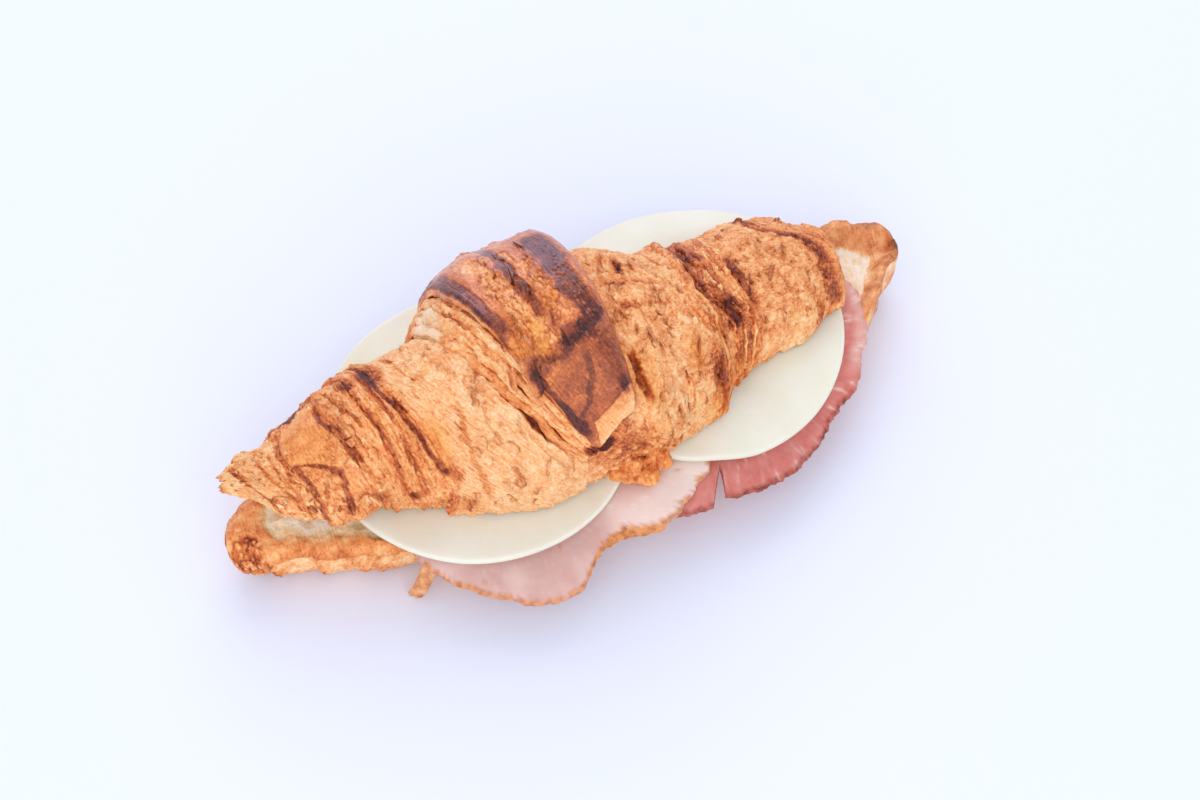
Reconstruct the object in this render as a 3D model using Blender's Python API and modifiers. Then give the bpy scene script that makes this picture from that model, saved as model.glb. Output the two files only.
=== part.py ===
"""Ham and cheese croissant, cut level and filled.

The croissant is cut into a base and a lid. Between them lie, from the bottom up, a slice of cured
ham, a slice of cooked ham and two round slices of cheese. The slices reach out at the front and at
the back, and sag a little where the base no longer carries them.

Design sizes are in millimetres and become metres where a mesh is made. X runs along the croissant
from its left tip to its right tip, -Y is the front, and z = 0 is the table.
"""

import bpy
import numpy as np

MM = 0.001
SHARP_ANGLE = 50.0

# Where the design's own axes lie from the middle of the finished object's footprint
CENTRE_X = 1.0
CENTRE_Y = 0.51

# The level cut through the croissant, and the air between pieces that touch
CUT_Z = 16.0
GAP = 0.6
LID_EXTRA_GAP = 0.5

# Base: x, middle of its width, half width, depth of its belly below the cut
BASE_STATIONS = (
    (-97.5, -5.5, 4.0, 9.0),
    (-96.0, -6.0, 7.0, 12.0),
    (-92.0, -6.0, 9.5, 14.5),
    (-84.0, -5.0, 11.8, 16.0),
    (-72.0, -3.2, 16.5, 17.0),
    (-58.0, -1.8, 22.2, 17.8),
    (-35.0, 0.0, 28.5, 18.5),
    (-5.0, 1.0, 31.0, 18.5),
    (22.0, 2.4, 29.0, 18.5),
    (50.0, 7.0, 21.5, 18.0),
    (80.0, 9.6, 15.0, 16.5),
    (88.0, 12.0, 10.0, 14.5),
    (93.5, 13.2, 5.8, 11.5),
    (95.5, 13.4, 2.6, 8.0),
)
BASE_COLUMNS = 52
BELLY_POINTS = 17
# Share of a loft's station spacing that stays even; the rest closes up towards the ends
EVEN_SHARE = 0.62
BELLY_SQUARENESS = 0.75
CUT_POINTS = 9
# The right tip's crust curls up round a patch of crumb
TIP_RIM_START_X = 81.0
TIP_RIM_FULL_X = 92.0
TIP_RIM_HEIGHT = 3.6
TIP_RIM_WIDTH = 6.0
TIP_RIM_EDGE_SHARE = 0.8

# Lid: x, middle of its width, half width, height of its crown above the cut
LID_STATIONS = (
    (-94.5, 4.6, 2.4, 2.2),
    (-90.0, 4.0, 5.0, 4.4),
    (-82.0, 0.6, 9.4, 9.0),
    (-66.0, -0.8, 15.2, 14.5),
    (-50.0, 0.5, 21.0, 20.5),
    (-34.0, -1.6, 27.2, 25.5),
    (-18.0, 0.2, 33.0, 28.5),
    (0.0, 0.2, 33.0, 28.5),
    (10.0, -1.0, 31.6, 28.0),
    (22.0, -0.1, 26.4, 25.0),
    (40.0, 7.0, 20.4, 20.0),
    (56.0, 10.0, 18.6, 19.0),
    (66.0, 10.0, 15.0, 15.5),
    (73.0, 9.6, 9.6, 10.0),
    (76.2, 9.5, 3.0, 3.0),
)
LID_COLUMNS = 62
CROWN_POINTS = 21
# Layers fade out where the lid is narrower than this, at its ends
RELIEF_FULL_HALF_WIDTH = 6.0
# The lid's left end gapes above the base
GAPE_FULL_X = -92.0
GAPE_END_X = -46.0
GAPE_HEIGHT = 7.6

# Dough layers: the x where each one's lip crosses 0, 45, 90, 135 and 180 degrees round the lid,
# from the front cut over the crown to the back cut; then the lip's height and the side it faces
LIP_ANGLES = (0.0, 45.0, 90.0, 135.0, 180.0)
LAYER_LIPS = (
    ((-82.0, -85.0, -90.0, -92.0, -93.0), 0.9, -1),
    ((-72.0, -74.0, -78.0, -81.0, -83.0), 1.0, -1),
    ((-55.0, -61.0, -66.0, -70.0, -73.0), 3.0, -1),
    ((-43.0, -43.5, -50.0, -56.0, -61.0), 2.0, -1),
    ((31.0, 32.0, 31.0, 30.0, 29.0), 1.6, 1),
    ((60.0, 65.5, 67.0, 62.0, 55.0), 1.8, 1),
)
LIP_RISE = 3.0
LIP_FADE = 13.0
# The groove between the two right-hand bulges
GROOVE_X = (34.0, 37.5, 37.0, 35.0, 33.0)
GROOVE_HALF_WIDTH = 6.0
GROOVE_DEPTH = 1.6

# The outermost layer of dough, which narrows to a point at the front
HUMP_LEFT_X = (-6.0, -19.0, -31.0, -36.0, -39.0)
HUMP_RIGHT_X = (-2.0, 5.0, 6.0, 6.5, 8.0)
HUMP_THICKNESS = 10.0
HUMP_FRONT_THICKNESS = 7.0
HUMP_SWELL_ANGLES = (40.0, 110.0)
HUMP_LEFT_SLOPE = 8.0
HUMP_RIGHT_SLOPE = 5.0
HUMP_POINT_ANGLE = 24.0
HUMP_POINT_BLEND = 12.0

# Slices
CHEESE_RADIUS = 40.8
CHEESE_THICKNESS = 2.2
CHEESE_LEFT_CENTRE = (-27.8, 1.4)
CHEESE_RIGHT_CENTRE = (33.4, 8.0)
HAM_THICKNESS = 1.6
PINK_HAM_CENTRE = (-16.8, -6.8)
PINK_HAM_RADIUS = 44.0
# Direction from the slice's middle, half width of the dip or bulge, and its depth, outwards positive
PINK_HAM_WAVES = ((-83.0, 10.0, -8.4), (-66.0, 13.0, -4.6), (95.0, 60.0, -9.0))
RED_HAM_CENTRE = (37.9, 0.5)
RED_HAM_RADIUS = 41.0
RED_HAM_WAVES = ((-50.0, 24.0, -5.4), (-127.0, 11.0, 6.0), (95.0, 60.0, -7.0))
RED_HAM_SLIT = (-113.0, 1.3, 8.0)
DISC_RINGS = (0.22, 0.42, 0.6, 0.75, 0.88, 1.0)
CHEESE_SECTORS = 40
HAM_SECTORS = 64

# How a slice steps down past the edge of the one under it, and sags past the base
STEP_WIDTH = 13.0
SUPPORT_INSET = 3.0
SAG_CHEESE = 0.0016
SAG_HAM = 0.0075
RUFFLE_HEIGHT = 0.9
RUFFLE_COUNT = 9
RUFFLE_SPAN = (12.0, 20.0)

# The strip of rind that hangs from the cooked ham to the table
STRIP_TOP = (-51.5, -32.6, 12.6)
STRIP_FOOT = (-59.6, -29.6, 1.1)
STRIP_WIDTH = 3.2
STRIP_THICKNESS = 1.4
STRIP_BOW = 1.6
STRIP_END_SHARE = 0.75
STRIP_POINTS = 9
STRIP_SIDES = 8


def clear_scene():
    for old in list(bpy.data.objects):
        bpy.data.objects.remove(old, do_unlink=True)


def make_material(name, colour, roughness):
    """A Principled material of one colour."""
    material = bpy.data.materials.new(name)
    material.use_nodes = True
    shader = material.node_tree.nodes["Principled BSDF"]
    shader.inputs["Base Color"].default_value = (*colour, 1.0)
    shader.inputs["Roughness"].default_value = roughness
    shader.inputs["Metallic"].default_value = 0.0
    material.diffuse_color = (*colour, 1.0)
    return material


def make_object(name, points, faces, material, collection):
    """A mesh object from design points in millimetres, set about the footprint's middle."""
    placed = (np.asarray(points, dtype=float) + (CENTRE_X, CENTRE_Y, 0.0)) * MM
    mesh = bpy.data.meshes.new(name)
    mesh.from_pydata(placed.tolist(), [], faces)
    mesh.shade_smooth()
    mesh.set_sharp_from_angle(angle=np.radians(SHARP_ANGLE))
    mesh.materials.append(material)
    made = bpy.data.objects.new(name, mesh)
    collection.objects.link(made)
    return made


def smooth_step(start, end, value):
    """0 up to start, 1 from end on, and a smooth S between them."""
    t = np.clip((value - start) / (end - start), 0.0, 1.0)
    return t * t * (3.0 - 2.0 * t)


def through_knots(value, knots, heights):
    """A smooth curve through knots that doesn't overshoot: cubics with limited end slopes."""
    knots = np.asarray(knots, dtype=float)
    heights = np.asarray(heights, dtype=float)
    value = np.clip(value, knots[0], knots[-1])
    run = np.diff(knots)
    slope = np.diff(heights) / run
    product = slope[:-1] * slope[1:]
    total = slope[:-1] + slope[1:]
    inner = np.where(product > 0.0, 2.0 * product / np.where(total == 0.0, 1.0, total), 0.0)
    tangent = np.concatenate(([slope[0]], inner, [slope[-1]]))
    i = np.clip(np.searchsorted(knots, value, side="right") - 1, 0, len(run) - 1)
    t = (value - knots[i]) / run[i]
    rise = 3.0 * t**2 - 2.0 * t**3
    start_bend = (t**3 - 2.0 * t**2 + t) * run[i] * tangent[i]
    end_bend = (t**3 - t**2) * run[i] * tangent[i + 1]
    return heights[i] + (heights[i + 1] - heights[i]) * rise + start_bend + end_bend


def station(x, stations, column):
    """One column of a station table, read smoothly at any x."""
    return through_knots(x, [row[0] for row in stations], [row[column] for row in stations])


def end_spaced(first, last, count):
    """Stations along X, closer together towards both ends."""
    t = np.linspace(-1.0, 1.0, count)
    eased = EVEN_SHARE * t + (1.0 - EVEN_SHARE) * np.sin(t * np.pi / 2.0) ** 3
    return first + (last - first) * (eased + 1.0) / 2.0


def disc_radius(azimuth, radius, waves=(), slit=None):
    """A slice's radius in each direction: a circle with soft dips and bulges and one narrow slit."""
    reach = np.full_like(azimuth, radius)
    for towards, half_width, depth in waves:
        turn = (azimuth - towards + 180.0) % 360.0 - 180.0
        reach = reach + depth * np.exp(-((turn / half_width) ** 2))
    if slit is not None:
        towards, half_width, depth = slit
        turn = np.abs((azimuth - towards + 180.0) % 360.0 - 180.0)
        reach = reach - depth * np.clip(1.0 - turn / half_width, 0.0, 1.0)
    return reach


SLICES = {
    "ham_slice_red": dict(centre=RED_HAM_CENTRE, radius=RED_HAM_RADIUS, waves=RED_HAM_WAVES,
                          slit=RED_HAM_SLIT, thickness=HAM_THICKNESS, sag=SAG_HAM,
                          ruffle=RUFFLE_HEIGHT, sectors=HAM_SECTORS),
    "ham_slice_pink": dict(centre=PINK_HAM_CENTRE, radius=PINK_HAM_RADIUS, waves=PINK_HAM_WAVES,
                           slit=None, thickness=HAM_THICKNESS, sag=SAG_HAM,
                           ruffle=RUFFLE_HEIGHT, sectors=HAM_SECTORS),
    "cheese_slice_left": dict(centre=CHEESE_LEFT_CENTRE, radius=CHEESE_RADIUS, waves=(),
                              slit=None, thickness=CHEESE_THICKNESS, sag=SAG_CHEESE,
                              ruffle=0.0, sectors=CHEESE_SECTORS),
    "cheese_slice_right": dict(centre=CHEESE_RIGHT_CENTRE, radius=CHEESE_RADIUS, waves=(),
                               slit=None, thickness=CHEESE_THICKNESS, sag=SAG_CHEESE,
                               ruffle=0.0, sectors=CHEESE_SECTORS),
}
STACK = ("ham_slice_red", "ham_slice_pink", "cheese_slice_left", "cheese_slice_right")


def cover(name, x, y):
    """1 over a slice, falling smoothly to 0 one step width outside its outline."""
    spec = SLICES[name]
    along = x - spec["centre"][0]
    across = y - spec["centre"][1]
    azimuth = np.degrees(np.arctan2(across, along))
    outside = np.hypot(along, across) - disc_radius(azimuth, spec["radius"], spec["waves"])
    return 1.0 - smooth_step(0.0, STEP_WIDTH, outside)


def stack_height(x, y, below):
    """Underside of what lies on the named slices: each adds its thickness and a gap."""
    height = np.full_like(x, CUT_Z + GAP)
    for name in below:
        height = height + (SLICES[name]["thickness"] + GAP) * cover(name, x, y)
    return height


def overhang(x, y):
    """How far a point lies outside the base, in front of it or behind it."""
    middle = station(x, BASE_STATIONS, 1)
    half_width = station(x, BASE_STATIONS, 2)
    return np.maximum(np.abs(y - middle) - (half_width - SUPPORT_INSET), 0.0)


def build_slice(name, collection, material):
    """A round slice: a polar surface laid on what is under it, given its thickness upwards."""
    spec = SLICES[name]
    azimuth = np.linspace(-180.0, 180.0, spec["sectors"], endpoint=False)
    if spec["slit"] is not None:
        towards, half_width, _ = spec["slit"]
        clear = np.abs(azimuth - towards) > half_width + 1.0
        extra = towards + np.array([-half_width, 0.0, half_width])
        azimuth = np.sort(np.concatenate((azimuth[clear], extra)))
    reach = disc_radius(azimuth, spec["radius"], spec["waves"], spec["slit"])
    rings = np.array(DISC_RINGS)
    angle = np.radians(azimuth)
    along = spec["centre"][0] + np.outer(rings, reach * np.cos(angle))
    across = spec["centre"][1] + np.outer(rings, reach * np.sin(angle))
    x = np.concatenate(([spec["centre"][0]], along.ravel()))
    y = np.concatenate(([spec["centre"][1]], across.ravel()))
    z = stack_height(x, y, STACK[:STACK.index(name)])
    past = overhang(x, y)
    z = z - spec["sag"] * past**2
    wave = np.sin(RUFFLE_COUNT * np.arctan2(y - spec["centre"][1], x - spec["centre"][0]))
    z = z - spec["ruffle"] * (1.0 + wave) * smooth_step(*RUFFLE_SPAN, past)
    count = len(azimuth)
    faces = []
    for sector in range(count):
        following = (sector + 1) % count
        faces.append((0, 1 + sector, 1 + following))
        for ring in range(len(rings) - 1):
            inner = 1 + ring * count
            outer = inner + count
            faces.append((inner + sector, outer + sector, outer + following, inner + following))
    made = make_object(name, np.column_stack((x, y, z)), faces, material, collection)
    wall = made.modifiers.new("slice thickness", "SOLIDIFY")
    wall.thickness = spec["thickness"] * MM
    wall.offset = 1.0
    return made


def layer_relief(x, angle):
    """How far the dough stands out from the smooth lid, in millimetres.

    Each layer rises at its lip and sinks back over the fade length towards the middle. The
    outermost layer has one thickness, sloping sides, and a point at the front.
    """
    relief = np.zeros_like(x)
    for lip_x, height, side in LAYER_LIPS:
        inward = (through_knots(angle, LIP_ANGLES, lip_x) - x) * side
        rise = smooth_step(0.0, LIP_RISE, inward)
        relief = relief + height * rise * np.exp(-np.maximum(inward, 0.0) / LIP_FADE)
    off_groove = (x - through_knots(angle, LIP_ANGLES, GROOVE_X)) / GROOVE_HALF_WIDTH
    relief = relief - GROOVE_DEPTH * np.exp(-off_groove**2)
    left = x - through_knots(angle, LIP_ANGLES, HUMP_LEFT_X)
    right = through_knots(angle, LIP_ANGLES, HUMP_RIGHT_X) - x
    point = smooth_step(HUMP_POINT_ANGLE, HUMP_POINT_ANGLE + HUMP_POINT_BLEND, angle)
    hump = smooth_step(0.0, HUMP_LEFT_SLOPE, left) * smooth_step(0.0, HUMP_RIGHT_SLOPE, right)
    fullness = smooth_step(*HUMP_SWELL_ANGLES, angle)
    thickness = HUMP_FRONT_THICKNESS + (HUMP_THICKNESS - HUMP_FRONT_THICKNESS) * fullness
    return relief + thickness * hump * point


def lid_underside(x, y):
    """The lid's cut face: it lies on all four slices, and gapes at the left end."""
    gape = GAPE_HEIGHT * (1.0 - smooth_step(GAPE_FULL_X, GAPE_END_X, x))
    return stack_height(x, y, STACK) + LID_EXTRA_GAP + gape


def lid_points():
    """Rings of the lid: over the crown from front to back, then back along the cut face."""
    x = end_spaced(LID_STATIONS[0][0], LID_STATIONS[-1][0], LID_COLUMNS)
    angle = np.linspace(0.0, 180.0, CROWN_POINTS)
    grid_x, grid_angle = np.meshgrid(x, angle, indexing="ij")
    turn = np.radians(grid_angle)
    middle = station(grid_x, LID_STATIONS, 1)
    half_width = station(grid_x, LID_STATIONS, 2)
    height = station(grid_x, LID_STATIONS, 3)
    edge_fade = smooth_step(0.0, RELIEF_FULL_HALF_WIDTH, half_width)
    relief = layer_relief(grid_x, grid_angle) * edge_fade
    crown_y = middle - (half_width + relief) * np.cos(turn)
    crown_z = lid_underside(grid_x, crown_y) + (height + relief) * np.sin(turn)
    share = np.linspace(0.0, 1.0, CUT_POINTS + 2)[1:-1]
    cut_y = crown_y[:, -1:] + (crown_y[:, :1] - crown_y[:, -1:]) * share
    cut_x = np.repeat(x[:, None], CUT_POINTS, axis=1)
    cut_z = lid_underside(cut_x, cut_y)
    ring_x = np.concatenate((grid_x, cut_x), axis=1)
    ring_y = np.concatenate((crown_y, cut_y), axis=1)
    ring_z = np.concatenate((crown_z, cut_z), axis=1)
    return np.stack((ring_x, ring_y, ring_z), axis=-1)


def base_points():
    """Rings of the base: along the cut face from front to back, then under the belly."""
    x = end_spaced(BASE_STATIONS[0][0], BASE_STATIONS[-1][0], BASE_COLUMNS)
    middle = station(x, BASE_STATIONS, 1)[:, None]
    half_width = station(x, BASE_STATIONS, 2)[:, None]
    depth = station(x, BASE_STATIONS, 3)[:, None]
    turn = np.radians(np.linspace(180.0, 0.0, BELLY_POINTS))
    sideways = np.sign(np.cos(turn)) * np.abs(np.cos(turn)) ** BELLY_SQUARENESS
    downwards = np.abs(np.sin(turn)) ** BELLY_SQUARENESS
    belly_y = middle - half_width * sideways
    belly_z = np.maximum(CUT_Z - depth * downwards, 0.0)
    share = np.linspace(-1.0, 1.0, CUT_POINTS + 2)[1:-1]
    cut_y = middle + half_width * share
    edge = half_width * (1.0 - np.abs(share))
    near_rim = 1.0 - smooth_step(0.0, TIP_RIM_WIDTH, edge)
    near_tip = smooth_step(TIP_RIM_START_X, TIP_RIM_FULL_X, x)[:, None]
    cut_z = CUT_Z + TIP_RIM_HEIGHT * near_rim * near_tip
    belly_z[:, [0, -1]] += TIP_RIM_HEIGHT * near_tip * TIP_RIM_EDGE_SHARE
    ring_x = np.repeat(x[:, None], CUT_POINTS + BELLY_POINTS, axis=1)
    ring_y = np.concatenate((cut_y, belly_y), axis=1)
    ring_z = np.concatenate((cut_z, belly_z), axis=1)
    return np.stack((ring_x, ring_y, ring_z), axis=-1)


def loft_faces(rings, count):
    """Quads between neighbouring rings, and one many-sided face at each end."""
    faces = []
    for ring in range(rings - 1):
        here = ring * count
        there = here + count
        for i in range(count):
            j = (i + 1) % count
            faces.append((here + i, there + i, there + j, here + j))
    faces.append(tuple(range(count)))
    last = (rings - 1) * count
    faces.append(tuple(range(last + count - 1, last - 1, -1)))
    return faces


def build_loft(name, rings, collection, material):
    """A closed body through rings of equal point count."""
    ring_count, point_count, _ = rings.shape
    faces = loft_faces(ring_count, point_count)
    return make_object(name, rings.reshape(-1, 3), faces, material, collection)


def build_rind_strip(collection, material):
    """A flat oval section carried along a bowed line from the ham's edge to the table."""
    t = np.linspace(0.0, 1.0, STRIP_POINTS)[:, None]
    top = np.array(STRIP_TOP)
    foot = np.array(STRIP_FOOT)
    line = top + (foot - top) * t
    run = (foot - top) / np.linalg.norm(foot - top)
    across = np.cross(run, (0.0, 1.0, 0.0))
    across = across / np.linalg.norm(across)
    outward = np.cross(across, run)
    line = line + outward * STRIP_BOW * np.sin(np.pi * t)
    turn = np.linspace(0.0, 2.0 * np.pi, STRIP_SIDES, endpoint=False)
    taper = (STRIP_END_SHARE + (1.0 - STRIP_END_SHARE) * np.sin(np.pi * t))[:, :, None]
    oval = (np.outer(np.cos(turn), across) * STRIP_WIDTH
            + np.outer(np.sin(turn), outward) * STRIP_THICKNESS) / 2.0
    rings = line[:, None, :] + oval[None, :, :] * taper
    return build_loft("ham_rind_strip", rings, collection, material)


def main():
    clear_scene()
    collection = bpy.data.collections.new("ham_and_cheese_croissant")
    bpy.context.scene.collection.children.link(collection)
    crust = make_material("baked crust", (0.62, 0.27, 0.07), 0.45)
    crust_lid = make_material("glazed crust", (0.55, 0.20, 0.05), 0.35)
    cheese = make_material("mild cheese", (0.88, 0.84, 0.66), 0.4)
    cheese_under = make_material("mild cheese, second slice", (0.86, 0.82, 0.63), 0.4)
    pink = make_material("cooked ham", (0.82, 0.50, 0.45), 0.4)
    red = make_material("cured ham", (0.62, 0.14, 0.12), 0.4)
    rind = make_material("smoked rind", (0.66, 0.29, 0.09), 0.5)
    build_loft("croissant_base", base_points(), collection, crust)
    build_loft("croissant_lid", lid_points(), collection, crust_lid)
    build_slice("ham_slice_red", collection, red)
    build_slice("ham_slice_pink", collection, pink)
    build_slice("cheese_slice_left", collection, cheese_under)
    build_slice("cheese_slice_right", collection, cheese)
    build_rind_strip(collection, rind)


main()
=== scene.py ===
import bpy
import numpy as np
from mathutils import Matrix, Vector


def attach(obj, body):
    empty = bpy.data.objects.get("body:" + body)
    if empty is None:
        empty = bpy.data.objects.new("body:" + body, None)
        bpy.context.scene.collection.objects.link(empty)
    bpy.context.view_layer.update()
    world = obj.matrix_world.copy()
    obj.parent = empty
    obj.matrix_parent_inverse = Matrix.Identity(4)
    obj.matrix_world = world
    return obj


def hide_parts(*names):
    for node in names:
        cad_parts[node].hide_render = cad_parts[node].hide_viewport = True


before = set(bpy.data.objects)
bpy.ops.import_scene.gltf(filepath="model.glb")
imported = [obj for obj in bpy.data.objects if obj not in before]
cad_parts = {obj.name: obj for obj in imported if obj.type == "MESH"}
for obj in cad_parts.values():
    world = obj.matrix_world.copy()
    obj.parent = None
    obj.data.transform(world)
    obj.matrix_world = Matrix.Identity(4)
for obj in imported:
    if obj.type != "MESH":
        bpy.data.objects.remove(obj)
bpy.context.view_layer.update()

# Ham and cheese croissant: the looks.
#
# Shapes are worked out in millimetres about the design's own axes and become metres, about the
# middle of the footprint, where a mesh is made. X runs along the croissant, -Y is the front, z = 0
# is the table. The crust is a stack of thin leaves of dough that follow one skin: a leaf has a lip
# on each long side, and each lip is a curve round the croissant.

MM = 0.001
CENTRE_X = 1
CENTRE_Y = 0.51

# ---------------------------------------------------------------- sizes
# They are the solids' own, but for outlines that follow the photo more closely: both tips, the
# lid's tucked front and left shoulder, the ham's outlines and the strip of rind.
# Stations: x, middle y, half width, height or depth
CUT_Z = 16
GAP = 0.6
LID_EXTRA_GAP = 0.5
BASE_STATIONS = (
    (-98.4, -7.6, 0.8, 4), (-98, -7.5, 2.6, 6.6), (-97.2, -7.3, 4.6, 9), (-95.8, -6.5, 6.1, 11),
    (-92, -5.6, 8.4, 13.3), (-84, -4.3, 11.1, 15.2), (-72, -3.2, 16.5, 17), (-58, -1.8, 22.2, 17.8),
    (-35, 0, 28.5, 18.5), (-5, 1, 31, 18.5), (22, 2.4, 29, 18.5), (50, 7, 21.5, 18),
    (78, 9.3, 15.2, 16.6), (84, 11.2, 11.8, 15.4), (88, 12.3, 8.6, 14.2), (91.4, 13, 7.2, 12.2),
    (94.2, 13.2, 5, 9), (95.6, 13.2, 2.2, 5))
BELLY_SQUARENESS = 0.62
# The raised crust rim of the right tip
TIP_RIM_START_X = 74
TIP_RIM_FULL_X = 85
TIP_RIM_HEIGHT = 4.6
TIP_RIM_WIDTH = 6.2
LID_STATIONS = (
    (-94.5, 4.6, 2.4, 2.2), (-90, 4, 5, 4.4), (-82, 0.6, 9.4, 9.4), (-66, 0.3, 16.3, 17),
    (-58, 0.4, 18.8, 18.7), (-50, -0.6, 19.9, 19.4), (-34, -2, 26.8, 24.6), (-18, 0.2, 33, 28.5),
    (0, 0.2, 33, 28.5), (10, -0.4, 32.2, 28.4), (22, -0.1, 26.4, 25), (40, 7, 20.4, 20),
    (56, 10, 18.4, 18), (66, 10, 14.8, 14.6), (73, 9.6, 9.6, 10), (75.4, 9.5, 5.2, 5.4),
    (76.4, 9.5, 1, 1))
# How far the lid's front edge is tucked in under it, x and mm, between the tuck's angles
FRONT_TUCK = (
    (-66, 0), (-57, 3.6), (-45, 4.8), (-24, 4.6), (-17, 4.2), (-12, 5), (-4, 5.2), (8, 6.4),
    (14, 5.6), (22, 3), (31, 1), (40, 0))
TUCK_ANGLES = (-4, 36)
# A skin narrower than this keeps less of what is laid on it, so that the tips stay closed
LIFT_HALF_WIDTH = 6
BELLY_FLAT = 1.4
# How the lid gapes at its left end
GAPE_FULL_X = -92
GAPE_END_X = -46
GAPE_HEIGHT = 7.6
CHEESE_RADIUS = 40.8
CHEESE_THICKNESS = 2.2
HAM_THICKNESS = 1.6
# Reach by azimuth, from the photo's outlines of both ham slices
PINK_REACH = (
    (-180, 42.8), (-160, 43.8), (-141, 44.5), (-127, 44.5), (-119, 44.4), (-111, 45.1), (-103, 45),
    (-96, 43.9), (-90, 41), (-84, 37.6), (-78, 36.4), (-72, 36.8), (-65, 39.5), (-57, 43),
    (-49, 43.6), (-42, 44.6), (-32, 46.4), (-20, 45.5), (0, 43), (40, 40), (95, 35), (150, 40.4),
    (180, 42.8))
RED_REACH = (
    (-180, 40), (-150, 43), (-140, 46), (-130, 49.5), (-124, 50.3), (-118, 48.1), (-113, 45.6),
    (-110.5, 43.2), (-107, 43.2), (-102, 42.6), (-93, 41.3), (-82, 39.9), (-70, 37.8), (-61, 36.9),
    (-55, 36.2), (-49, 36.3), (-43, 37.4), (-36, 38.6), (-27, 38.6), (-16, 40.4), (-7, 41.6),
    (0, 42.3), (15, 41), (40, 38), (95, 34), (150, 38), (180, 40))
CHEESE_REACH = ((-180, CHEESE_RADIUS), (0, CHEESE_RADIUS), (180, CHEESE_RADIUS))
SLICES = {
    "ham_slice_red": dict(centre=(37.9, 0.5), reach=RED_REACH, thickness=HAM_THICKNESS,
                          sag=0.0075),
    "ham_slice_pink": dict(centre=(-16.8, -6.8), reach=PINK_REACH, thickness=HAM_THICKNESS,
                           sag=0.0075),
    "cheese_slice_left": dict(centre=(-27.8, 1.4), reach=CHEESE_REACH, thickness=CHEESE_THICKNESS,
                              sag=0.0016),
    "cheese_slice_right": dict(centre=(33, 7), reach=CHEESE_REACH, thickness=CHEESE_THICKNESS,
                               sag=0.0045),
}
STACK = ("ham_slice_red", "ham_slice_pink", "cheese_slice_left", "cheese_slice_right")
# The hanging strip of rind: its top, its end, its width and the way it faces
RIND_TOP = (-52, -29.2, 13.4)
RIND_END = (-58, -30.8, 1.4)
RIND_WIDTH = 4.4
RIND_ACROSS = (0.72, -0.69, 0.05)
RIND_NORMAL = (-0.55, -0.66, 0.5)
# Azimuth, half width in degrees, depth
RED_HAM_SLIT = (-111.8, 1.7, 8.5)
STEP_WIDTH = 13
SUPPORT_INSET = 3
# Millimetres round the croissant for a radian of angle
GIRTH = 28

# ---------------------------------------------------------------- curves and random fields
# Random table that every noise reads: an order and a slope for each of its rows
LATTICE = 4096
lattice_order = np.random.default_rng(11).permutation(LATTICE)
lattice_slopes = np.random.default_rng(12).normal(size=(LATTICE, 3))
lattice_slopes /= np.linalg.norm(lattice_slopes, axis=1, keepdims=True)
LUMP_GAIN = 1.7


def clip01(value):
    """The value, kept between 0 and 1."""
    return np.clip(value, 0, 1)


def smooth_step(start, end, value):
    """0 up to start, 1 from end on, and t*t*(3 - 2t) between them."""
    t = clip01((value - start) / (end - start))
    return t * t * (3 - 2 * t)


def fade(start, end, value):
    """1 up to start, 0 from end on: one less the smooth step."""
    return 1 - smooth_step(start, end, value)


def plateau(start, level, leave, end, value):
    """0 outside start and end, 1 from level to leave, and smooth steps between them."""
    return smooth_step(start, level, value) * fade(leave, end, value)


def through_knots(value, knots, heights):
    """Cubic pieces through knots, with harmonic-mean slopes so that the curve never overshoots."""
    knots = np.asarray(knots, dtype=float)
    heights = np.asarray(heights, dtype=float)
    value = np.clip(value, knots[0], knots[-1])
    run = np.diff(knots)
    slope = np.diff(heights) / run
    product = slope[:-1] * slope[1:]
    total = slope[:-1] + slope[1:]
    inner = np.where(product > 0, 2 * product / np.where(total == 0, 1, total), 0)
    tangent = np.concatenate(([slope[0]], inner, [slope[-1]]))
    i = np.clip(np.searchsorted(knots, value, side="right") - 1, 0, len(run) - 1)
    t = (value - knots[i]) / run[i]
    rise = 3 * t**2 - 2 * t**3
    start_bend = (t**3 - 2 * t**2 + t) * run[i] * tangent[i]
    end_bend = (t**3 - t**2) * run[i] * tangent[i + 1]
    return heights[i] + (heights[i + 1] - heights[i]) * rise + start_bend + end_bend


def station(x, stations, column):
    """One column of a station table, read smoothly at any x."""
    columns = list(zip(*stations))
    return through_knots(x, columns[0], columns[column])


def triple(a, b, c):
    """Three coordinate arrays as one array of points."""
    return np.stack(np.broadcast_arrays(a, b, c), axis=-1)


def lattice_pick(ix, iy, iz, seed):
    """The same random table row for the same lattice point."""
    row = lattice_order[(ix + seed * 57) & (LATTICE - 1)]
    row = lattice_order[(row + iy) & (LATTICE - 1)]
    return lattice_order[(row + iz) & (LATTICE - 1)]


def lumps(points, size, seed=0):
    """Gradient noise, about -1 to 1: slopes at lattice points, blended by 6t^5 - 15t^4 + 10t^3."""
    spot = np.asarray(points, dtype=float) / size + 100 + seed * 3.7
    cell = np.floor(spot).astype(np.int64)
    part = spot - cell
    ease = part**3 * (part * (part * 6 - 15) + 10)
    total = 0
    for corner in np.ndindex(2, 2, 2):
        row = lattice_pick(*np.moveaxis(cell + corner, -1, 0), seed)
        reach = ((part - corner) * lattice_slopes[row]).sum(-1)
        weight = np.prod(np.where(np.equal(corner, 1), ease, 1 - ease), axis=-1)
        total = total + weight * reach
    return total * LUMP_GAIN


def rough_lumps(points, size, octaves, seed=0, fall=0.5):
    """Lumps at several sizes, each half as large and `fall` as high as the one before."""
    total = 0
    height = 1
    for octave in range(octaves):
        total = total + height * lumps(points, size / 2**octave, seed + octave * 7)
        height *= fall
    return total


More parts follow.
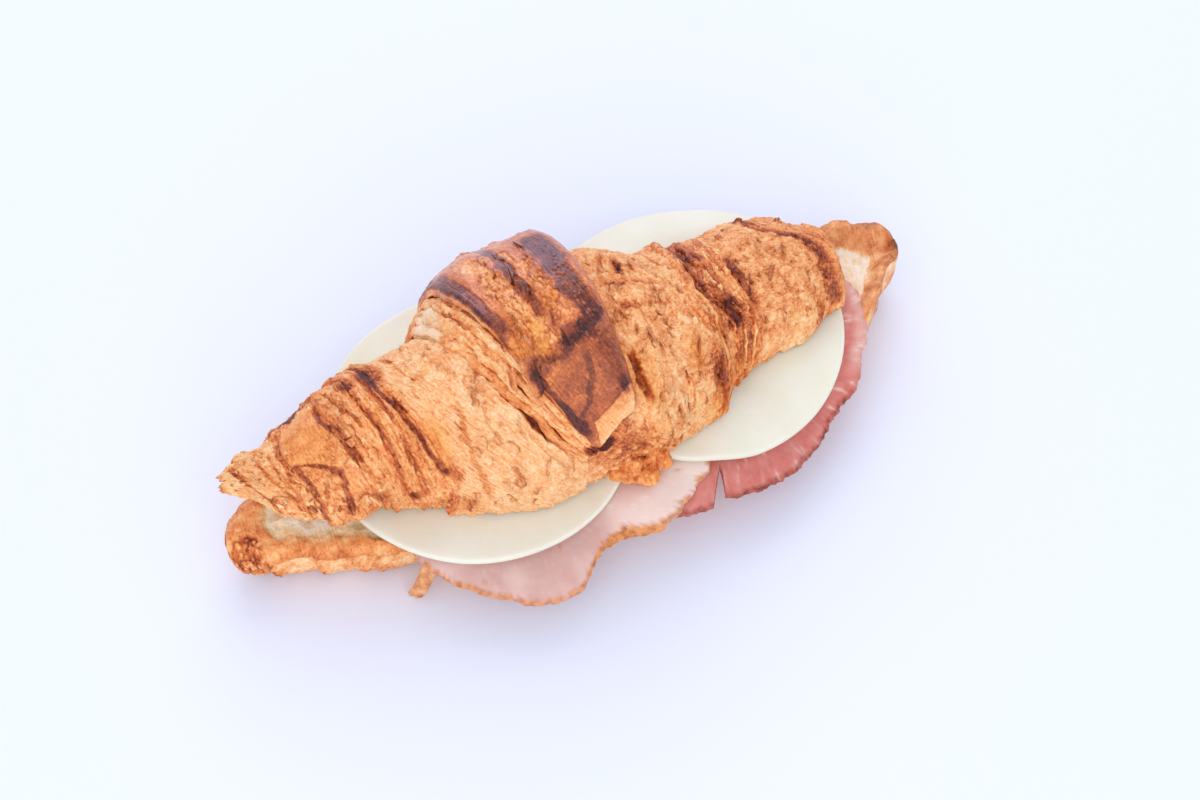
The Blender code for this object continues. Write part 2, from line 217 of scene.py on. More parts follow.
def nearest_cell(points, size, seed=0):
    """Distance to the nearest of one random point per cube of the given size, and that point's
    random share 0 to 1."""
    spot = np.asarray(points, dtype=float) / size + 200
    cell = np.floor(spot).astype(np.int64)
    best = np.full(spot.shape[:-1], 9.0)
    share = np.zeros(spot.shape[:-1])
    for step in np.ndindex(3, 3, 3):
        corner = cell + step - 1
        row = lattice_pick(*np.moveaxis(corner, -1, 0), seed)
        point = corner + 0.5 + lattice_slopes[row] * 0.5
        distance = np.linalg.norm(spot - point, axis=-1)
        share = np.where(distance < best, row / LATTICE, share)
        best = np.minimum(best, distance)
    return best * size, share


def hump_curve(value, middle, half_width):
    """A bell: 1 at the middle, 1/e one half width away."""
    return np.exp(-(((value - middle) / half_width) ** 2))


# ---------------------------------------------------------------- the stack of slices
def slice_reach(name, azimuth):
    """A slice's radius in each direction, through its knots of (azimuth, reach)."""
    return through_knots(azimuth, *zip(*SLICES[name]["reach"]))


def cover(name, x, y):
    """1 over a slice, falling smoothly to 0 one step width outside its outline."""
    along = x - SLICES[name]["centre"][0]
    across = y - SLICES[name]["centre"][1]
    azimuth = np.degrees(np.arctan2(across, along))
    return fade(0, STEP_WIDTH, np.hypot(along, across) - slice_reach(name, azimuth))


def stack_height(x, y, below):
    """Underside of what lies on the named slices: each adds its thickness and a gap."""
    height = np.full_like(x, CUT_Z + GAP)
    for name in below:
        height = height + (SLICES[name]["thickness"] + GAP) * cover(name, x, y)
    return height


def overhang(x, y):
    """How far a point lies outside the base, in front of it or behind it."""
    half_width = station(x, BASE_STATIONS, 2)
    return np.maximum(np.abs(y - station(x, BASE_STATIONS, 1)) - (half_width - SUPPORT_INSET), 0)


# ---------------------------------------------------------------- skins of the lid and the base
def lid_underside(x, y):
    """The lid's cut face: it lies on all four slices, and gapes at the left end."""
    gape = GAPE_HEIGHT * fade(GAPE_FULL_X, GAPE_END_X, x)
    return stack_height(x, y, STACK) + LID_EXTRA_GAP + gape


def lid_skin(x, angle, lift):
    """Point of the lid: half an ellipse round the middle line, angle 0 at the front cut, 90 at the
    crown and 180 at the back cut, standing `lift` proud, set on the cut face. The front edge is
    tucked in, the more the lower it is."""
    turn = np.radians(angle)
    half_width = station(x, LID_STATIONS, 2)
    lift = lift * smooth_step(0, LIFT_HALF_WIDTH, half_width)
    y = station(x, LID_STATIONS, 1) - (half_width + lift) * np.cos(turn)
    y = y + station(x, FRONT_TUCK, 1) * fade(*TUCK_ANGLES, angle)
    z = lid_underside(x, y) + (station(x, LID_STATIONS, 3) + lift) * np.sin(turn)
    return triple(x, y, z)


def base_skin(x, angle, lift):
    """Point of the base: half a rounded box under the cut, angle 0 at the front cut, 90 below and
    180 at the back cut. The belly presses flat where it would pass the table."""
    turn = np.radians(angle)
    side = np.sign(np.cos(turn)) * np.abs(np.cos(turn)) ** BELLY_SQUARENESS
    down = np.abs(np.sin(turn)) ** BELLY_SQUARENESS
    half_width = station(x, BASE_STATIONS, 2)
    lift = lift * smooth_step(0, LIFT_HALF_WIDTH, half_width)
    y = station(x, BASE_STATIONS, 1) - (half_width + lift) * side
    z = CUT_Z - (station(x, BASE_STATIONS, 3) + lift) * down
    near_tip = smooth_step(TIP_RIM_START_X, TIP_RIM_FULL_X, x)
    z = z + TIP_RIM_HEIGHT * near_tip * clip01(1 - down) ** 2
    z = np.where(z > BELLY_FLAT, z,
                 BELLY_FLAT * np.exp(np.minimum(z - BELLY_FLAT, 0) / BELLY_FLAT))
    return triple(x, y, z)


# ---------------------------------------------------------------- meshes
def make_piece(name, points, quads, triangles, fields, material):
    """A mesh object from design points in mm, face corner arrays and one float field per name."""
    corners = np.concatenate((np.asarray(quads, dtype=np.int32).ravel(),
                              np.asarray(triangles, dtype=np.int32).ravel()))
    totals = np.concatenate((np.full(len(quads), 4), np.full(len(triangles), 3))).astype(np.int32)
    starts = np.concatenate(([0], np.cumsum(totals)[:-1])).astype(np.int32)
    placed = (np.asarray(points, dtype=float) + (CENTRE_X, CENTRE_Y, 0)) * MM
    mesh = bpy.data.meshes.new(name)
    mesh.vertices.add(len(placed))
    mesh.vertices.foreach_set("co", placed.astype(np.float32).ravel())
    mesh.loops.add(len(corners))
    mesh.loops.foreach_set("vertex_index", corners)
    mesh.polygons.add(len(totals))
    mesh.polygons.foreach_set("loop_start", starts)
    mesh.polygons.foreach_set("loop_total", totals)
    mesh.update(calc_edges=True)
    mesh.validate()
    for field, values in fields.items():
        layer = mesh.attributes.new(field, "FLOAT", "POINT")
        layer.data.foreach_set("value", np.asarray(values, dtype=np.float32).ravel())
    mesh.shade_smooth()
    mesh.materials.append(material)
    piece = bpy.data.objects.new(name, mesh)
    bpy.context.scene.collection.objects.link(piece)
    return piece


def ring_quads(rings, count):
    """Quads between neighbouring closed rings of one grid."""
    here = np.arange(rings - 1)[:, None] * count + np.arange(count)[None, :]
    side = np.arange(rings - 1)[:, None] * count + (np.arange(count)[None, :] + 1) % count
    return np.stack((here, here + count, side + count, side), axis=-1).reshape(-1, 4)


def closed_rings(rings, inside_out=False):
    """Points, quads and end fans of a stack of closed rings. Each fan meets at its ring's mean."""
    number, count = rings.shape[:2]
    loop = np.arange(count)
    after, last = (loop + 1) % count, (number - 1) * count
    start = np.stack((np.full(count, number * count), loop, after), axis=-1)
    end = np.stack((np.full(count, number * count + 1), last + after, last + loop), axis=-1)
    points = np.concatenate((rings.reshape(-1, 3), rings[:1].mean(1), rings[-1:].mean(1)))
    quads, fans = ring_quads(number, count), np.concatenate((start, end))
    return (points, quads[:, ::-1], fans[:, ::-1]) if inside_out else (points, quads, fans)


def with_poles(fields, shape):
    """Each field over all the rings, and its mean over the first and the last one at the poles."""
    grids = {field: np.broadcast_to(value, shape) for field, value in fields.items()}
    return {field: np.concatenate((grid.ravel(), [grid[0].mean(), grid[-1].mean()]))
            for field, grid in grids.items()}


def zip_cap(over, under):
    """Faces between two chains of point numbers that run the same way: the chain with fewer points
    is stepped along in proportion."""
    step = np.round(np.arange(len(over)) * (len(under) - 1) / (len(over) - 1)).astype(int)
    partner = under[step]
    a, b, c, d = over[:-1], over[1:], partner[1:], partner[:-1]
    same = c == d
    return np.stack((a, b, c, d), axis=-1)[~same], np.stack((a, b, c), axis=-1)[same]


# ---------------------------------------------------------------- leaves of dough
SIDE_POINTS = 8
ROUND_POINTS = 5
UNDER_POINTS = 14
RAGGED_ANGLE = 18


def lip_sheets(drop, way, facing, seed):
    """The thin sheets in a lip's side: a noise of the depth, drawn out round the croissant."""
    return lumps(triple(drop * 4.2, way / 3.5, facing * 9 + seed), 1.7, seed + 90)


def leaf(name, edges, angles, lift, detail, material, edge_thick=1.4, inner_thick=2.6,
         count=(160, 200), rounding=0.6, sheets=0.45, undercut=0, seed=0, ragged=None):
    """A thin leaf of dough that lies on the lid's skin, closed all round, with count points across
    and round.

    A ring goes from the middle of the left lip up over its rounded edge, along the top to the right
    lip and back underneath. Across the leaf x runs from the left edge curve to the right one; round
    the croissant the ring is carried from the first angle to the last. The top's height is the
    lift field plus the detail's relief; each lip's side is made of thin sheets, which stick out by
    a noise of the depth, and may be cut back below; the underside lies deeper inside than at the
    lips. A ragged leaf's two ends wander, by functions of x in degrees.
    """
    across, around = count
    angle = np.linspace(angles[0], angles[1], around)[:, None]
    left, right = edges(angle)
    room = np.maximum(right - left, 0.05)
    radius = np.minimum(min(rounding, edge_thick * 0.5), room * 0.3)
    down = np.linspace(1, 0, SIDE_POINTS + 1)[:-1]
    arc = np.linspace(0, np.pi / 2, ROUND_POINTS)
    inset = np.concatenate((np.zeros(SIDE_POINTS), 1 - np.cos(arc)))
    over_arc = np.concatenate((np.ones(SIDE_POINTS), 1 - np.sin(arc)))
    below_arc = np.concatenate((down, np.zeros(ROUND_POINTS)))
    lip_drop = radius * over_arc + (edge_thick - radius) * below_arc
    flat = np.linspace(0, 1, across - 2 * len(inset) + 2)[1:-1]
    flat_x = (left + radius) * (1 - flat) + (right - radius) * flat
    left_x, right_x = left + radius * inset, right - radius * inset
    x = np.concatenate((left_x, flat_x, right_x[:, ::-1]), axis=1)
    drop = np.concatenate((lip_drop, np.zeros_like(flat_x), lip_drop[:, ::-1]), axis=1)
    wide = np.repeat(angle, x.shape[1], axis=1)
    side = smooth_step(0.3, 1.2, drop / radius)
    facing = np.concatenate((np.ones_like(left_x), 0 * flat_x, -np.ones_like(right_x)), axis=1)
    way = np.radians(wide) * GIRTH
    tuck = undercut * (drop / edge_thick) ** 2
    x = x + facing * side * (tuck + sheets * lip_sheets(drop, way, facing, seed))
    if ragged is not None:
        start, end = ragged
        wide = wide + start(x) * fade(angles[0], angles[0] + RAGGED_ANGLE, wide)
        wide = wide + end(x) * smooth_step(angles[1] - RAGGED_ANGLE, angles[1], wide)
    level = lift(x, wide)
    bare = lid_skin(x, wide, level - drop)
    relief, fields = detail(bare, x, wide, np.maximum(x - left, 0), np.maximum(right - x, 0),
                            side, drop)
    top = lid_skin(x, wide, level - drop + relief * (1 - 0.5 * side))
    share = np.linspace(0, 1, UNDER_POINTS)
    tuck_in = radius * 0.5 + undercut
    low_x = (left + tuck_in) * (1 - share) + (right - tuck_in) * share
    low_wide = np.repeat(angle, UNDER_POINTS, axis=1)
    inward = smooth_step(0.5, 5, np.minimum(low_x - left, right - low_x))
    thick = edge_thick + (inner_thick - edge_thick) * inward
    bottom = lid_skin(low_x, low_wide, lift(low_x, low_wide) - thick)
    ring = np.concatenate((top, bottom[:, ::-1]), axis=1)
    tops, total = top.shape[1], top.shape[1] + UNDER_POINTS
    quads, triangles = [ring_quads(around, total)[:, ::-1]], []
    for first, turned in ((0, True), ((around - 1) * total, False)):
        some_quads, some_triangles = zip_cap(first + np.arange(tops),
                                             first + total - 1 - np.arange(UNDER_POINTS))
        quads.append(some_quads[:, ::-1] if turned else some_quads)
        triangles.append(some_triangles[:, ::-1] if turned else some_triangles)
    quads, triangles = np.concatenate(quads), np.concatenate(triangles)
    values = {}
    for field, value in fields.items():
        filler = np.full((around, UNDER_POINTS), float(np.mean(value)))
        values[field] = np.concatenate((value + np.zeros_like(x), filler), axis=1)
    return make_piece(name, ring.reshape(-1, 3), quads, triangles, values, material)


# ---------------------------------------------------------------- relief, baking and painted shade of the crust
def line_marks(marks, x, angle, wander, soft=0.45):
    """Sum of long marks round the croissant: a band with soft sides along a line of (angle, x)
    knots, which fades out past the line's two ends."""
    total = np.zeros_like(x)
    for knots, half_width, strength in marks:
        angles, places = zip(*knots)
        line = np.interp(angle, angles, places)
        ends = plateau(angles[0] - 4, angles[0] + 3, angles[-1] - 3, angles[-1] + 4, angle)
        aside = np.abs(x - line + wander) / half_width
        total = total + strength * ends * fade(1 - soft, 1 + soft, aside)
    return total


def spots(marks, x, angle, wander):
    """Sum of ovals: (x, angle, half length along x and half length round in mm, softness,
    strength)."""
    total = np.zeros_like(x)
    for place, middle, across, around, soft, strength in marks:
        far = np.hypot((x - place) / across, np.radians(angle - middle) * GIRTH / around)
        total = total + strength * fade(1 - soft, 1 + soft, far + 0.25 * wander)
    return total


# How much painted shade darkens the low parts of a leaf's relief, and painted light brightens its
# high parts
RELIEF_SHADE_TONE = 0.07
DOUGH_FIELDS = ("bake", "amber", "crumb", "glaze", "across", "way")


def finish_of(*values):
    """The fields that baked dough's material reads, by name: how far it is baked, with painted
    shade and light added in, how orange, how much crumb shows, how glazed it is, and the place
    across and along its fibres in mm."""
    return dict(zip(DOUGH_FIELDS, values))


def crust(seed, tone, swell=0.45, pleat=0.5, terrace=0.34, fibre=0.2, grit=0.1, scaly=0,
          blister=0, marks=(), dark=(), amber=(), pale=(), polish=(), blisters=(), hollow=(),
          pleat_size=3.2, pleat_tone=0.06, streak=0.1, edge_tone=0.25, edge_width=0.8,
          side_tone=0.4, glaze=0.3, mottle=0.1, follow=None, stretch=6, grooves=(), extra=None,
          sheet_line=0.15, soft=0.45, blister_size=2.2, floury=0):
    """Relief and finish of one leaf.

    Relief, in mm: broad swelling, pleats along the lips, terraces where sheets have flaked away
    (whole steps of a warped noise), creased fibres (the size of a noise, which is sharp at its
    zeros), grit, scales at random heights, blisters in their spots, grooves and hollows. Baking and
    painted shade: the leaf's own tone, the marks and spots with soft sides (some of them partly
    painted shade), a random tone for each terrace and a dark line at the foot of each step (partly
    burnt, partly painted shade), dark creases and lip edges, painted shade in the low parts of the
    relief and painted light on its high parts, a pale side, and floury crumb where it is baked
    least. The pattern runs along the lip it follows; stretch is how much longer than wide it is.
    Polish smooths its spots. Extra adds relief and baking of its own.
    """
    def field(bare, x, angle, from_left, from_right, side, drop):
        way = np.radians(angle) * GIRTH
        run = x if follow is None else x - lip_x(follow, angle) + LIPS[follow][2]
        broad = rough_lumps(bare, 15, 2, seed)
        warp = rough_lumps(bare, 4.2, 3, seed + 20)
        fold = rough_lumps(triple(run + 0.4 * warp, way / (1.33 * stretch), seed), pleat_size, 2,
                           seed + 1)
        fine = rough_lumps(triple(run + 0.3 * warp, way / stretch, seed), 0.9, 2, seed + 2)
        crease = np.abs(fine)
        grain = rough_lumps(bare, 1.3, 2, seed + 3)
        course = lumps(triple(run, way / min(3.4, 1.3 * stretch), seed), 5.5, seed + 4)
        course = (course + 0.4 * warp + 0.1 * fine) * 2.3
        shelf = np.floor(course)
        part = course - shelf
        smooth = clip01(spots(polish, x, angle, warp))
        rough = 1 - 0.85 * smooth
        relief = swell * broad + rough * (
            pleat * fold + terrace * (shelf + smooth_step(0, 0.12, part)) + grit * grain
            + fibre * (1.8 * crease - 0.5))
        shade = lattice_order[shelf.astype(np.int64) & (LATTICE - 1)] / LATTICE - 0.5
        # A dark line at the foot of each terrace step: partly burnt edge, partly painted shade
        bake = tone + mottle * warp + rough * (
            pleat_tone * fold + 0.08 * shade + sheet_line * hump_curve(part, 0.96, 0.07)
            - 0.08 * hump_curve(part, 0.18, 0.12)
            + streak * fade(0, 0.25, crease))
        if scaly > 0:
            reach, share = nearest_cell(triple(run + 0.5 * warp, way / min(1.8, stretch), seed),
                                        1.7, seed + 8)
            relief = relief + rough * scaly * (share - 0.5 - 0.25 * reach)
            bake = bake + rough * (0.12 * (0.5 - share) + 0.08 * smooth_step(0.7, 1.3, reach))
        if blister > 0:
            bubbly = clip01(spots(blisters, x, angle, warp))
            reach, share = nearest_cell(bare, blister_size, seed + 5)
            reach = reach * 2.2 / blister_size
            bubble = clip01(1 - (reach / 1.1) ** 2) * (share > 0.3)
            relief = relief + blister * bubble * bubbly
            bake = bake + bubbly * (0.1 * hump_curve(reach, 1.2, 0.3) - 0.1 * bubble)
        # Marks along lines: burnt edges and creases, some of them with painted shade
        burn_and_shade = line_marks(marks, x, angle, 0.6 * warp + 0.3 * fine, soft)
        bake = bake + burn_and_shade
        relief = relief - 1.1 * np.maximum(burn_and_shade, 0) - line_marks(grooves, x, angle, 0.5 * warp)
        bake = bake + spots(dark, x, angle, warp + 0.3 * fine)
        whitened = clip01(spots(pale, x, angle, warp))
        bake = bake * (1 - 0.8 * whitened) + 0.12 * whitened
        # Painted shade in the relief's low parts and painted light on its high parts
        bake = bake - RELIEF_SHADE_TONE * np.clip(relief - swell * broad - 0.3, -1.5, 1)
        relief = relief - spots(hollow, x, angle, 0.6 * warp)
        near = np.exp(-np.minimum(from_left, from_right) / edge_width) * (1 - side)
        bake = bake + edge_tone * near * smooth_step(-0.5, 0.3, rough_lumps(bare, 9, 2, seed + 6))
        relief = relief + 0.25 * near
        sheet = lip_sheets(drop, way, 1, seed)
        bake = bake * (1 - side) + (side_tone - 0.22 * sheet + 0.06 * fine) * side
        if extra is not None:
            more, browned = extra(x, angle, warp)
            relief = relief + more
            bake = bake + browned
        orange = clip01(spots(amber, x, angle, warp + 0.4 * fine))
        crumb = np.maximum(0.8 * whitened, floury * smooth_step(0.6, 0.4, bake)) * (1 - smooth)
        gloss = clip01(glaze + 0.4 * smooth - 0.3 * side)
        return relief, finish_of(np.clip(bake, 0, 0.94), orange, crumb, gloss, run,
                                 way * 6 / stretch)
    return field


FLAKE_STEPS = (7, 5)
FLAKE_LENGTH = (1.6, 5)
FLAKE_CURL = (0.4, 1.5)
FLAKE_THICK = 0.24


def flakes(name, lift, detail, number, zone, material, seed):
    """Loose flakes on one of the lid's leaves, one mesh: each is a small closed sheet held at one
    end, which lies on the leaf's own relief and curls up by the square of the way to its free
    end. They are scattered over the zone (first and last x, first and last angle)."""
    dice = np.random.default_rng(seed)
    along, across = np.meshgrid(np.linspace(0, 1, FLAKE_STEPS[0]),
                                np.linspace(-1, 1, FLAKE_STEPS[1]), indexing="ij")
    along, across = along[None], across[None]

    def draw(low, high):
        """One even random number for each flake."""
        return dice.uniform(low, high, number)[:, None, None]

    middle_x, middle_angle = draw(*zone[:2]), draw(*zone[2:])
    long, turn, rise = draw(*FLAKE_LENGTH), draw(-0.5, 0.5), draw(*FLAKE_CURL)
    facing = np.where(draw(0, 1) < 0.5, -1, 1)
    broad = long * draw(0.3, 0.75) * (1 - 0.45 * along**2 + 0.3 * draw(-1, 1) * along)
    reach = along * long * 0.6 * facing
    aside = across * broad + 0.25 * lumps(triple(along * 3, across * 2, middle_x * 7), 1, seed)
    x = middle_x + reach * np.cos(turn) - aside * np.sin(turn)
    angle = middle_angle + np.degrees((reach * np.sin(turn) + aside * np.cos(turn)) / GIRTH)
    inside = np.full_like(x, 9)
    level = lift(x, angle)
    relief, fields = detail(lid_skin(x, angle, level), x, angle, inside, inside, 0 * x, 0 * x)
    height = relief - 0.25 + rise * along**2 + 0.15 * across**2 * along
    top = lid_skin(x, angle, level + height)
    low = lid_skin(x, angle, level + height - FLAKE_THICK * (1 + 2 * (1 - along)))
    rows, columns = FLAKE_STEPS
    count = rows * columns
    grid = np.arange(count).reshape(rows, columns)
    a, b, c, d = grid[:-1, :-1], grid[1:, :-1], grid[1:, 1:], grid[:-1, 1:]
    face = np.stack((a, b, c, d), axis=-1).reshape(-1, 4)
    rim = np.concatenate((grid[:, 0], grid[-1, 1:], grid[-2::-1, -1], grid[0, -2:0:-1]))
    after = np.roll(rim, -1)
    wall = np.stack((rim, rim + count, after + count, after), axis=-1)
    one = np.concatenate((face, face[:, ::-1] + count, wall))
    quads = one[None] + (np.arange(number) * 2 * count)[:, None, None]
    quads = np.where(facing > 0, quads, quads[:, :, ::-1]).reshape(-1, 4)
    points = np.concatenate((top.reshape(number, count, 3), low.reshape(number, count, 3)), axis=1)
    values = {}
    for field, value in fields.items():
        value = (value + 0 * x).reshape(number, count)
        values[field] = np.concatenate((value, value), axis=1)
    tone = 0.12 * (dice.uniform(-1, 1, number)[:, None] + 2 * along.reshape(1, count) - 0.6)
    values["bake"] = clip01(values["bake"] + np.concatenate((tone, tone + 0.1), axis=1))
    return make_piece(name, points.reshape(-1, 3), quads, (), values, material)


# ---------------------------------------------------------------- materials
def colour(text):
    """An sRGB hex colour as linear red, green, blue and full alpha."""
    parts = np.array([int(text[i:i + 2], 16) / 255 for i in (1, 3, 5)])
    linear = np.where(parts <= 0.04045, parts / 12.92, ((parts + 0.055) / 1.055) ** 2.4)
    return (*linear.tolist(), 1.0)


def add(tree, kind, inputs=None, stops=None, **settings):
    """A node of one kind, its settings, its ramp's stops, and its inputs set or linked; a node
    given as an input is linked by its first output."""
    made = tree.nodes.new("ShaderNode" + kind)
    for key, value in settings.items():
        setattr(made, key, value)
    if stops is not None:
        steps = made.color_ramp.elements
        while len(steps) < len(stops):
            steps.new(0.5)
        for step, (place, tone) in zip(steps, stops):
            step.position = place
            step.color = colour(tone)
    for key, value in (inputs or {}).items():
        socket = made.inputs[key]
        if isinstance(value, bpy.types.NodeSocket):
            tree.links.new(value, socket)
        elif isinstance(value, bpy.types.Node):
            tree.links.new(value.outputs[0], socket)
        else:
            socket.default_value = value
    return made


def new_material(name):
    """An empty node material and its tree."""
    material = bpy.data.materials.new(name)
    material.use_nodes = True
    material.node_tree.nodes.clear()
    return material, material.node_tree


PER_MM = 1000
CRUST_STOPS = (
    (0, "#FFE0B2"), (0.18, "#FEC88A"), (0.36, "#F3A05C"), (0.52, "#D5763E"), (0.68, "#A24F2C"),
    (0.84, "#6C2C1C"), (1, "#371613"))
AMBER_STOPS = ((0, "#FCC47A"), (0.3, "#F3A24E"), (0.6, "#CE6A2A"), (1, "#5A2418"))
CRUMB_STOPS = ((0, "#FFF4E4"), (0.3, "#F6DBB0"), (0.6, "#E9B97C"), (1, "#C0834C"))


def surface(material, tone, height, bump, sockets):
    """A material's last nodes: a bump with its strength and its depth in metres, the shader with
    its sockets set, and the output."""
    tree = material.node_tree
    relief = add(tree, "Bump", {"Strength": bump[0], "Distance": bump[1], "Height": height})
    shader = add(tree, "BsdfPrincipled", {"Base Color": tone, "Normal": relief, **sockets})
    add(tree, "OutputMaterial", {"Surface": shader})
    return material


def dough_material(name, coat, roughness, specular):
    """Laminated dough, baked: pale gold to burnt along its bake and the shade painted into it,
    orange and deep where egg wash pooled, cream where the crumb shows. Fine fibres follow the
    layers.
    Glazed parts shine; torn ones are dry."""
    material, tree = new_material(name)
    place = add(tree, "TexCoord").outputs["Object"]

    def read(field):
        return add(tree, "Attribute", attribute_name=field).outputs["Fac"]

    bake, amber, crumb, glaze = (read(field) for field in DOUGH_FIELDS[:4])
    across = add(tree, "Math", {0: read("across"), 1: 1 / 0.45}, operation="MULTIPLY")
    way = add(tree, "Math", {0: read("way"), 1: 1 / 3.2}, operation="MULTIPLY")
    along = add(tree, "CombineXYZ", {"X": across, "Y": way})
    strand = add(tree, "TexNoise", {"Vector": along, "Scale": 1, "Detail": 3})
    grain = add(tree, "TexNoise", {"Vector": place, "Scale": PER_MM / 2.4, "Detail": 6,
                                   "Roughness": 0.65})
    speck = add(tree, "TexNoise", {"Vector": place, "Scale": PER_MM / 0.7, "Detail": 2})
    first = add(tree, "Math", {0: strand, 1: grain}, operation="ADD")
    both = add(tree, "Math", {0: first, 1: speck}, operation="ADD")
    swing = add(tree, "Math", {0: both, 1: 0.36, 2: -0.54}, operation="MULTIPLY_ADD")
    toned = add(tree, "Math", {0: bake, 1: swing}, operation="ADD", use_clamp=True)
    crusty = add(tree, "ValToRGB", {"Fac": toned}, stops=CRUST_STOPS)
    orange = add(tree, "ValToRGB", {"Fac": toned}, stops=AMBER_STOPS)
    creamy = add(tree, "ValToRGB", {"Fac": toned}, stops=CRUMB_STOPS)
    warm = add(tree, "Mix", {0: amber, 6: crusty, 7: orange}, data_type="RGBA")
    tone = add(tree, "Mix", {0: crumb, 6: warm.outputs[2], 7: creamy}, data_type="RGBA")
    dry = add(tree, "MapRange", {"Value": glaze, "To Min": roughness[0], "To Max": roughness[1]})
    return surface(material, tone.outputs[2], both, (0.6, 0.0004), {
        "Roughness": dry, "Specular IOR Level": specular, "Coat Weight": coat,
        "Coat Roughness": 0.2, "Subsurface Weight": 0.08, "Subsurface Scale": 0.002})


def cheese_material():
    """Mild semi-hard cheese, sliced: pale cream, faintly uneven, soft and slightly translucent."""
    material, tree = new_material("mild semi-hard cheese, sliced")
    place = add(tree, "TexCoord").outputs["Object"]
    clouds = add(tree, "TexNoise", {"Vector": place, "Scale": PER_MM / 14, "Detail": 4})
    tone = add(tree, "ValToRGB", {"Fac": clouds}, stops=((0.3, "#E6E4CC"), (0.7, "#ECEBDA")))
    grain = add(tree, "TexNoise", {"Vector": place, "Scale": PER_MM / 1.5, "Detail": 4})
    return surface(material, tone, grain, (0.25, 0.0003), {
        "Roughness": 0.58, "Specular IOR Level": 0.3, "Subsurface Weight": 0.3,
        "Subsurface Scale": 0.004})


def ham_material(name, meat, fat, rim):
    """Sliced ham: moist meat with veins of fat, and a smoked rim."""
    material, tree = new_material(name)
    place = add(tree, "TexCoord").outputs["Object"]
    fatty = add(tree, "Attribute", attribute_name="fat").outputs["Fac"]
    rimmed = add(tree, "Attribute", attribute_name="rind").outputs["Fac"]
    grain = add(tree, "TexNoise", {"Vector": place, "Scale": PER_MM / 5, "Detail": 6,
                                   "Roughness": 0.6})
    flesh = add(tree, "ValToRGB", {"Fac": grain}, stops=((0.3, meat[0]), (0.7, meat[1])))
    larded = add(tree, "Mix", {0: fatty, 6: flesh, 7: colour(fat)}, data_type="RGBA")
    charred = add(tree, "TexNoise", {"Vector": place, "Scale": PER_MM / 1.6, "Detail": 4})
    smoky = add(tree, "ValToRGB", {"Fac": charred}, stops=((0.4, rim[0]), (0.62, rim[1])))
    ringed = add(tree, "Mix", {0: rimmed, 6: larded.outputs[2], 7: smoky}, data_type="RGBA")
    return surface(material, ringed.outputs[2], grain, (0.4, 0.0004), {
        "Roughness": 0.38, "IOR": 1.42, "Subsurface Weight": 0.2, "Subsurface Scale": 0.003})


def rind_material():
    """Smoked rind, dried and torn off: orange-brown, mottled, with a dull skin."""
    material, tree = new_material("smoked rind, dried")
    place = add(tree, "TexCoord").outputs["Object"]
    blotch = add(tree, "TexNoise", {"Vector": place, "Scale": PER_MM / 2.5, "Detail": 5,
                                    "Roughness": 0.65})
    tone = add(tree, "ValToRGB", {"Fac": blotch}, stops=(
        (0.3, "#F0BE8C"), (0.5, "#DF9A62"), (0.7, "#B0653A")))
    return surface(material, tone, blotch, (0.7, 0.0005), {
        "Roughness": 0.6, "IOR": 1.42, "Subsurface Weight": 0.15, "Subsurface Scale": 0.002})


def rest(piece, node):
    """A finished piece rides on the whole and stands for its node, which is hidden."""
    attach(piece, "root")
    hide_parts(node)


# ---------------------------------------------------------------- the lid's layers
LIP_ANGLES = (0, 45, 90, 135, 180)
# Lip curves, x at each lip angle. Each is named for the layer or the cords that end there
LIPS = {
    "left 4": (-82, -85.6, -90, -92, -93),
    "left 3": (-73, -75.6, -78.4, -79.5, -82),
    "left 2": (-58, -61.2, -65.6, -68.4, -72),
    "left 2d": (-50.5, -53.7, -56.8, -61.2, -65),
    "left 2e": (-47.5, -49.6, -52, -57, -62),
    "left 1": (-44.5, -43.2, -48.9, -54.6, -59),
    "pale end": (-11, -9, -14, -16, -16),
    "hump foot": (4, -16, -28.6, -36, -40.5),
    "hump right": (-2, 5, 5.2, 2.4, 3),
    "right 1": (31, 33, 30.8, 30, 29),
    "twist 1": (35, 38, 33.6, 33, 32),
    "twist 2": (39, 42, 38, 36.5, 35),
    "right 2": (42, 45.5, 43.5, 41, 39),
    "right 3": (63.5, 69, 69.8, 65, 57),
}
# Cords of dough in the twist between the hump and the right bulge: lip, shift, half width, rise
# and tone
CORDS = (
    ("right 1", -1.4, 1.2, 1.9, 0.33), ("right 1", 0.6, 0.8, 1.5, 0.18),
    ("right 1", 2.2, 1.1, 1.7, 0.4), ("twist 1", 0.8, 0.8, 1.3, 0.22),
    ("twist 1", 2.2, 1.2, 1.9, 0.47), ("twist 1", 4, 0.7, 1.4, 0.18),
    ("twist 2", 0.2, 1.2, 1.8, 0.47), ("twist 2", 2, 0.7, 1.2, 0.2),
    ("twist 2", 3.6, 1.2, 1.5, 0.4), ("right 2", -0.6, 0.8, 1.1, 0.24),
    ("right 2", 0.9, 1.2, 1, 0.42))
# Cords in the torn band at the hump's foot: share of the step, half width, base share, rise, tone
FOOT_CORDS = (
    (0.12, 1.4, 0.16, 1.7, 0.26), (0.36, 1.1, 0.3, 1.6, 0.16), (0.58, 1.3, 0.4, 1.8, 0.22),
    (0.84, 1.1, 0.56, 1.5, 0.18))
# What each layer stands out at its lip, and how fast that fades inwards
LIFTS = {"left 4": 0.9, "left 3": 1, "left 2": 2.8, "left 2d": 1, "left 1": 1.6}
RIGHT_LIFTS = {"right 1": 2.6, "right 3": 1}
LEFT_LIPS = tuple(LIFTS)
RIGHT_LIPS = tuple(RIGHT_LIFTS)
LIP_FADE = 13
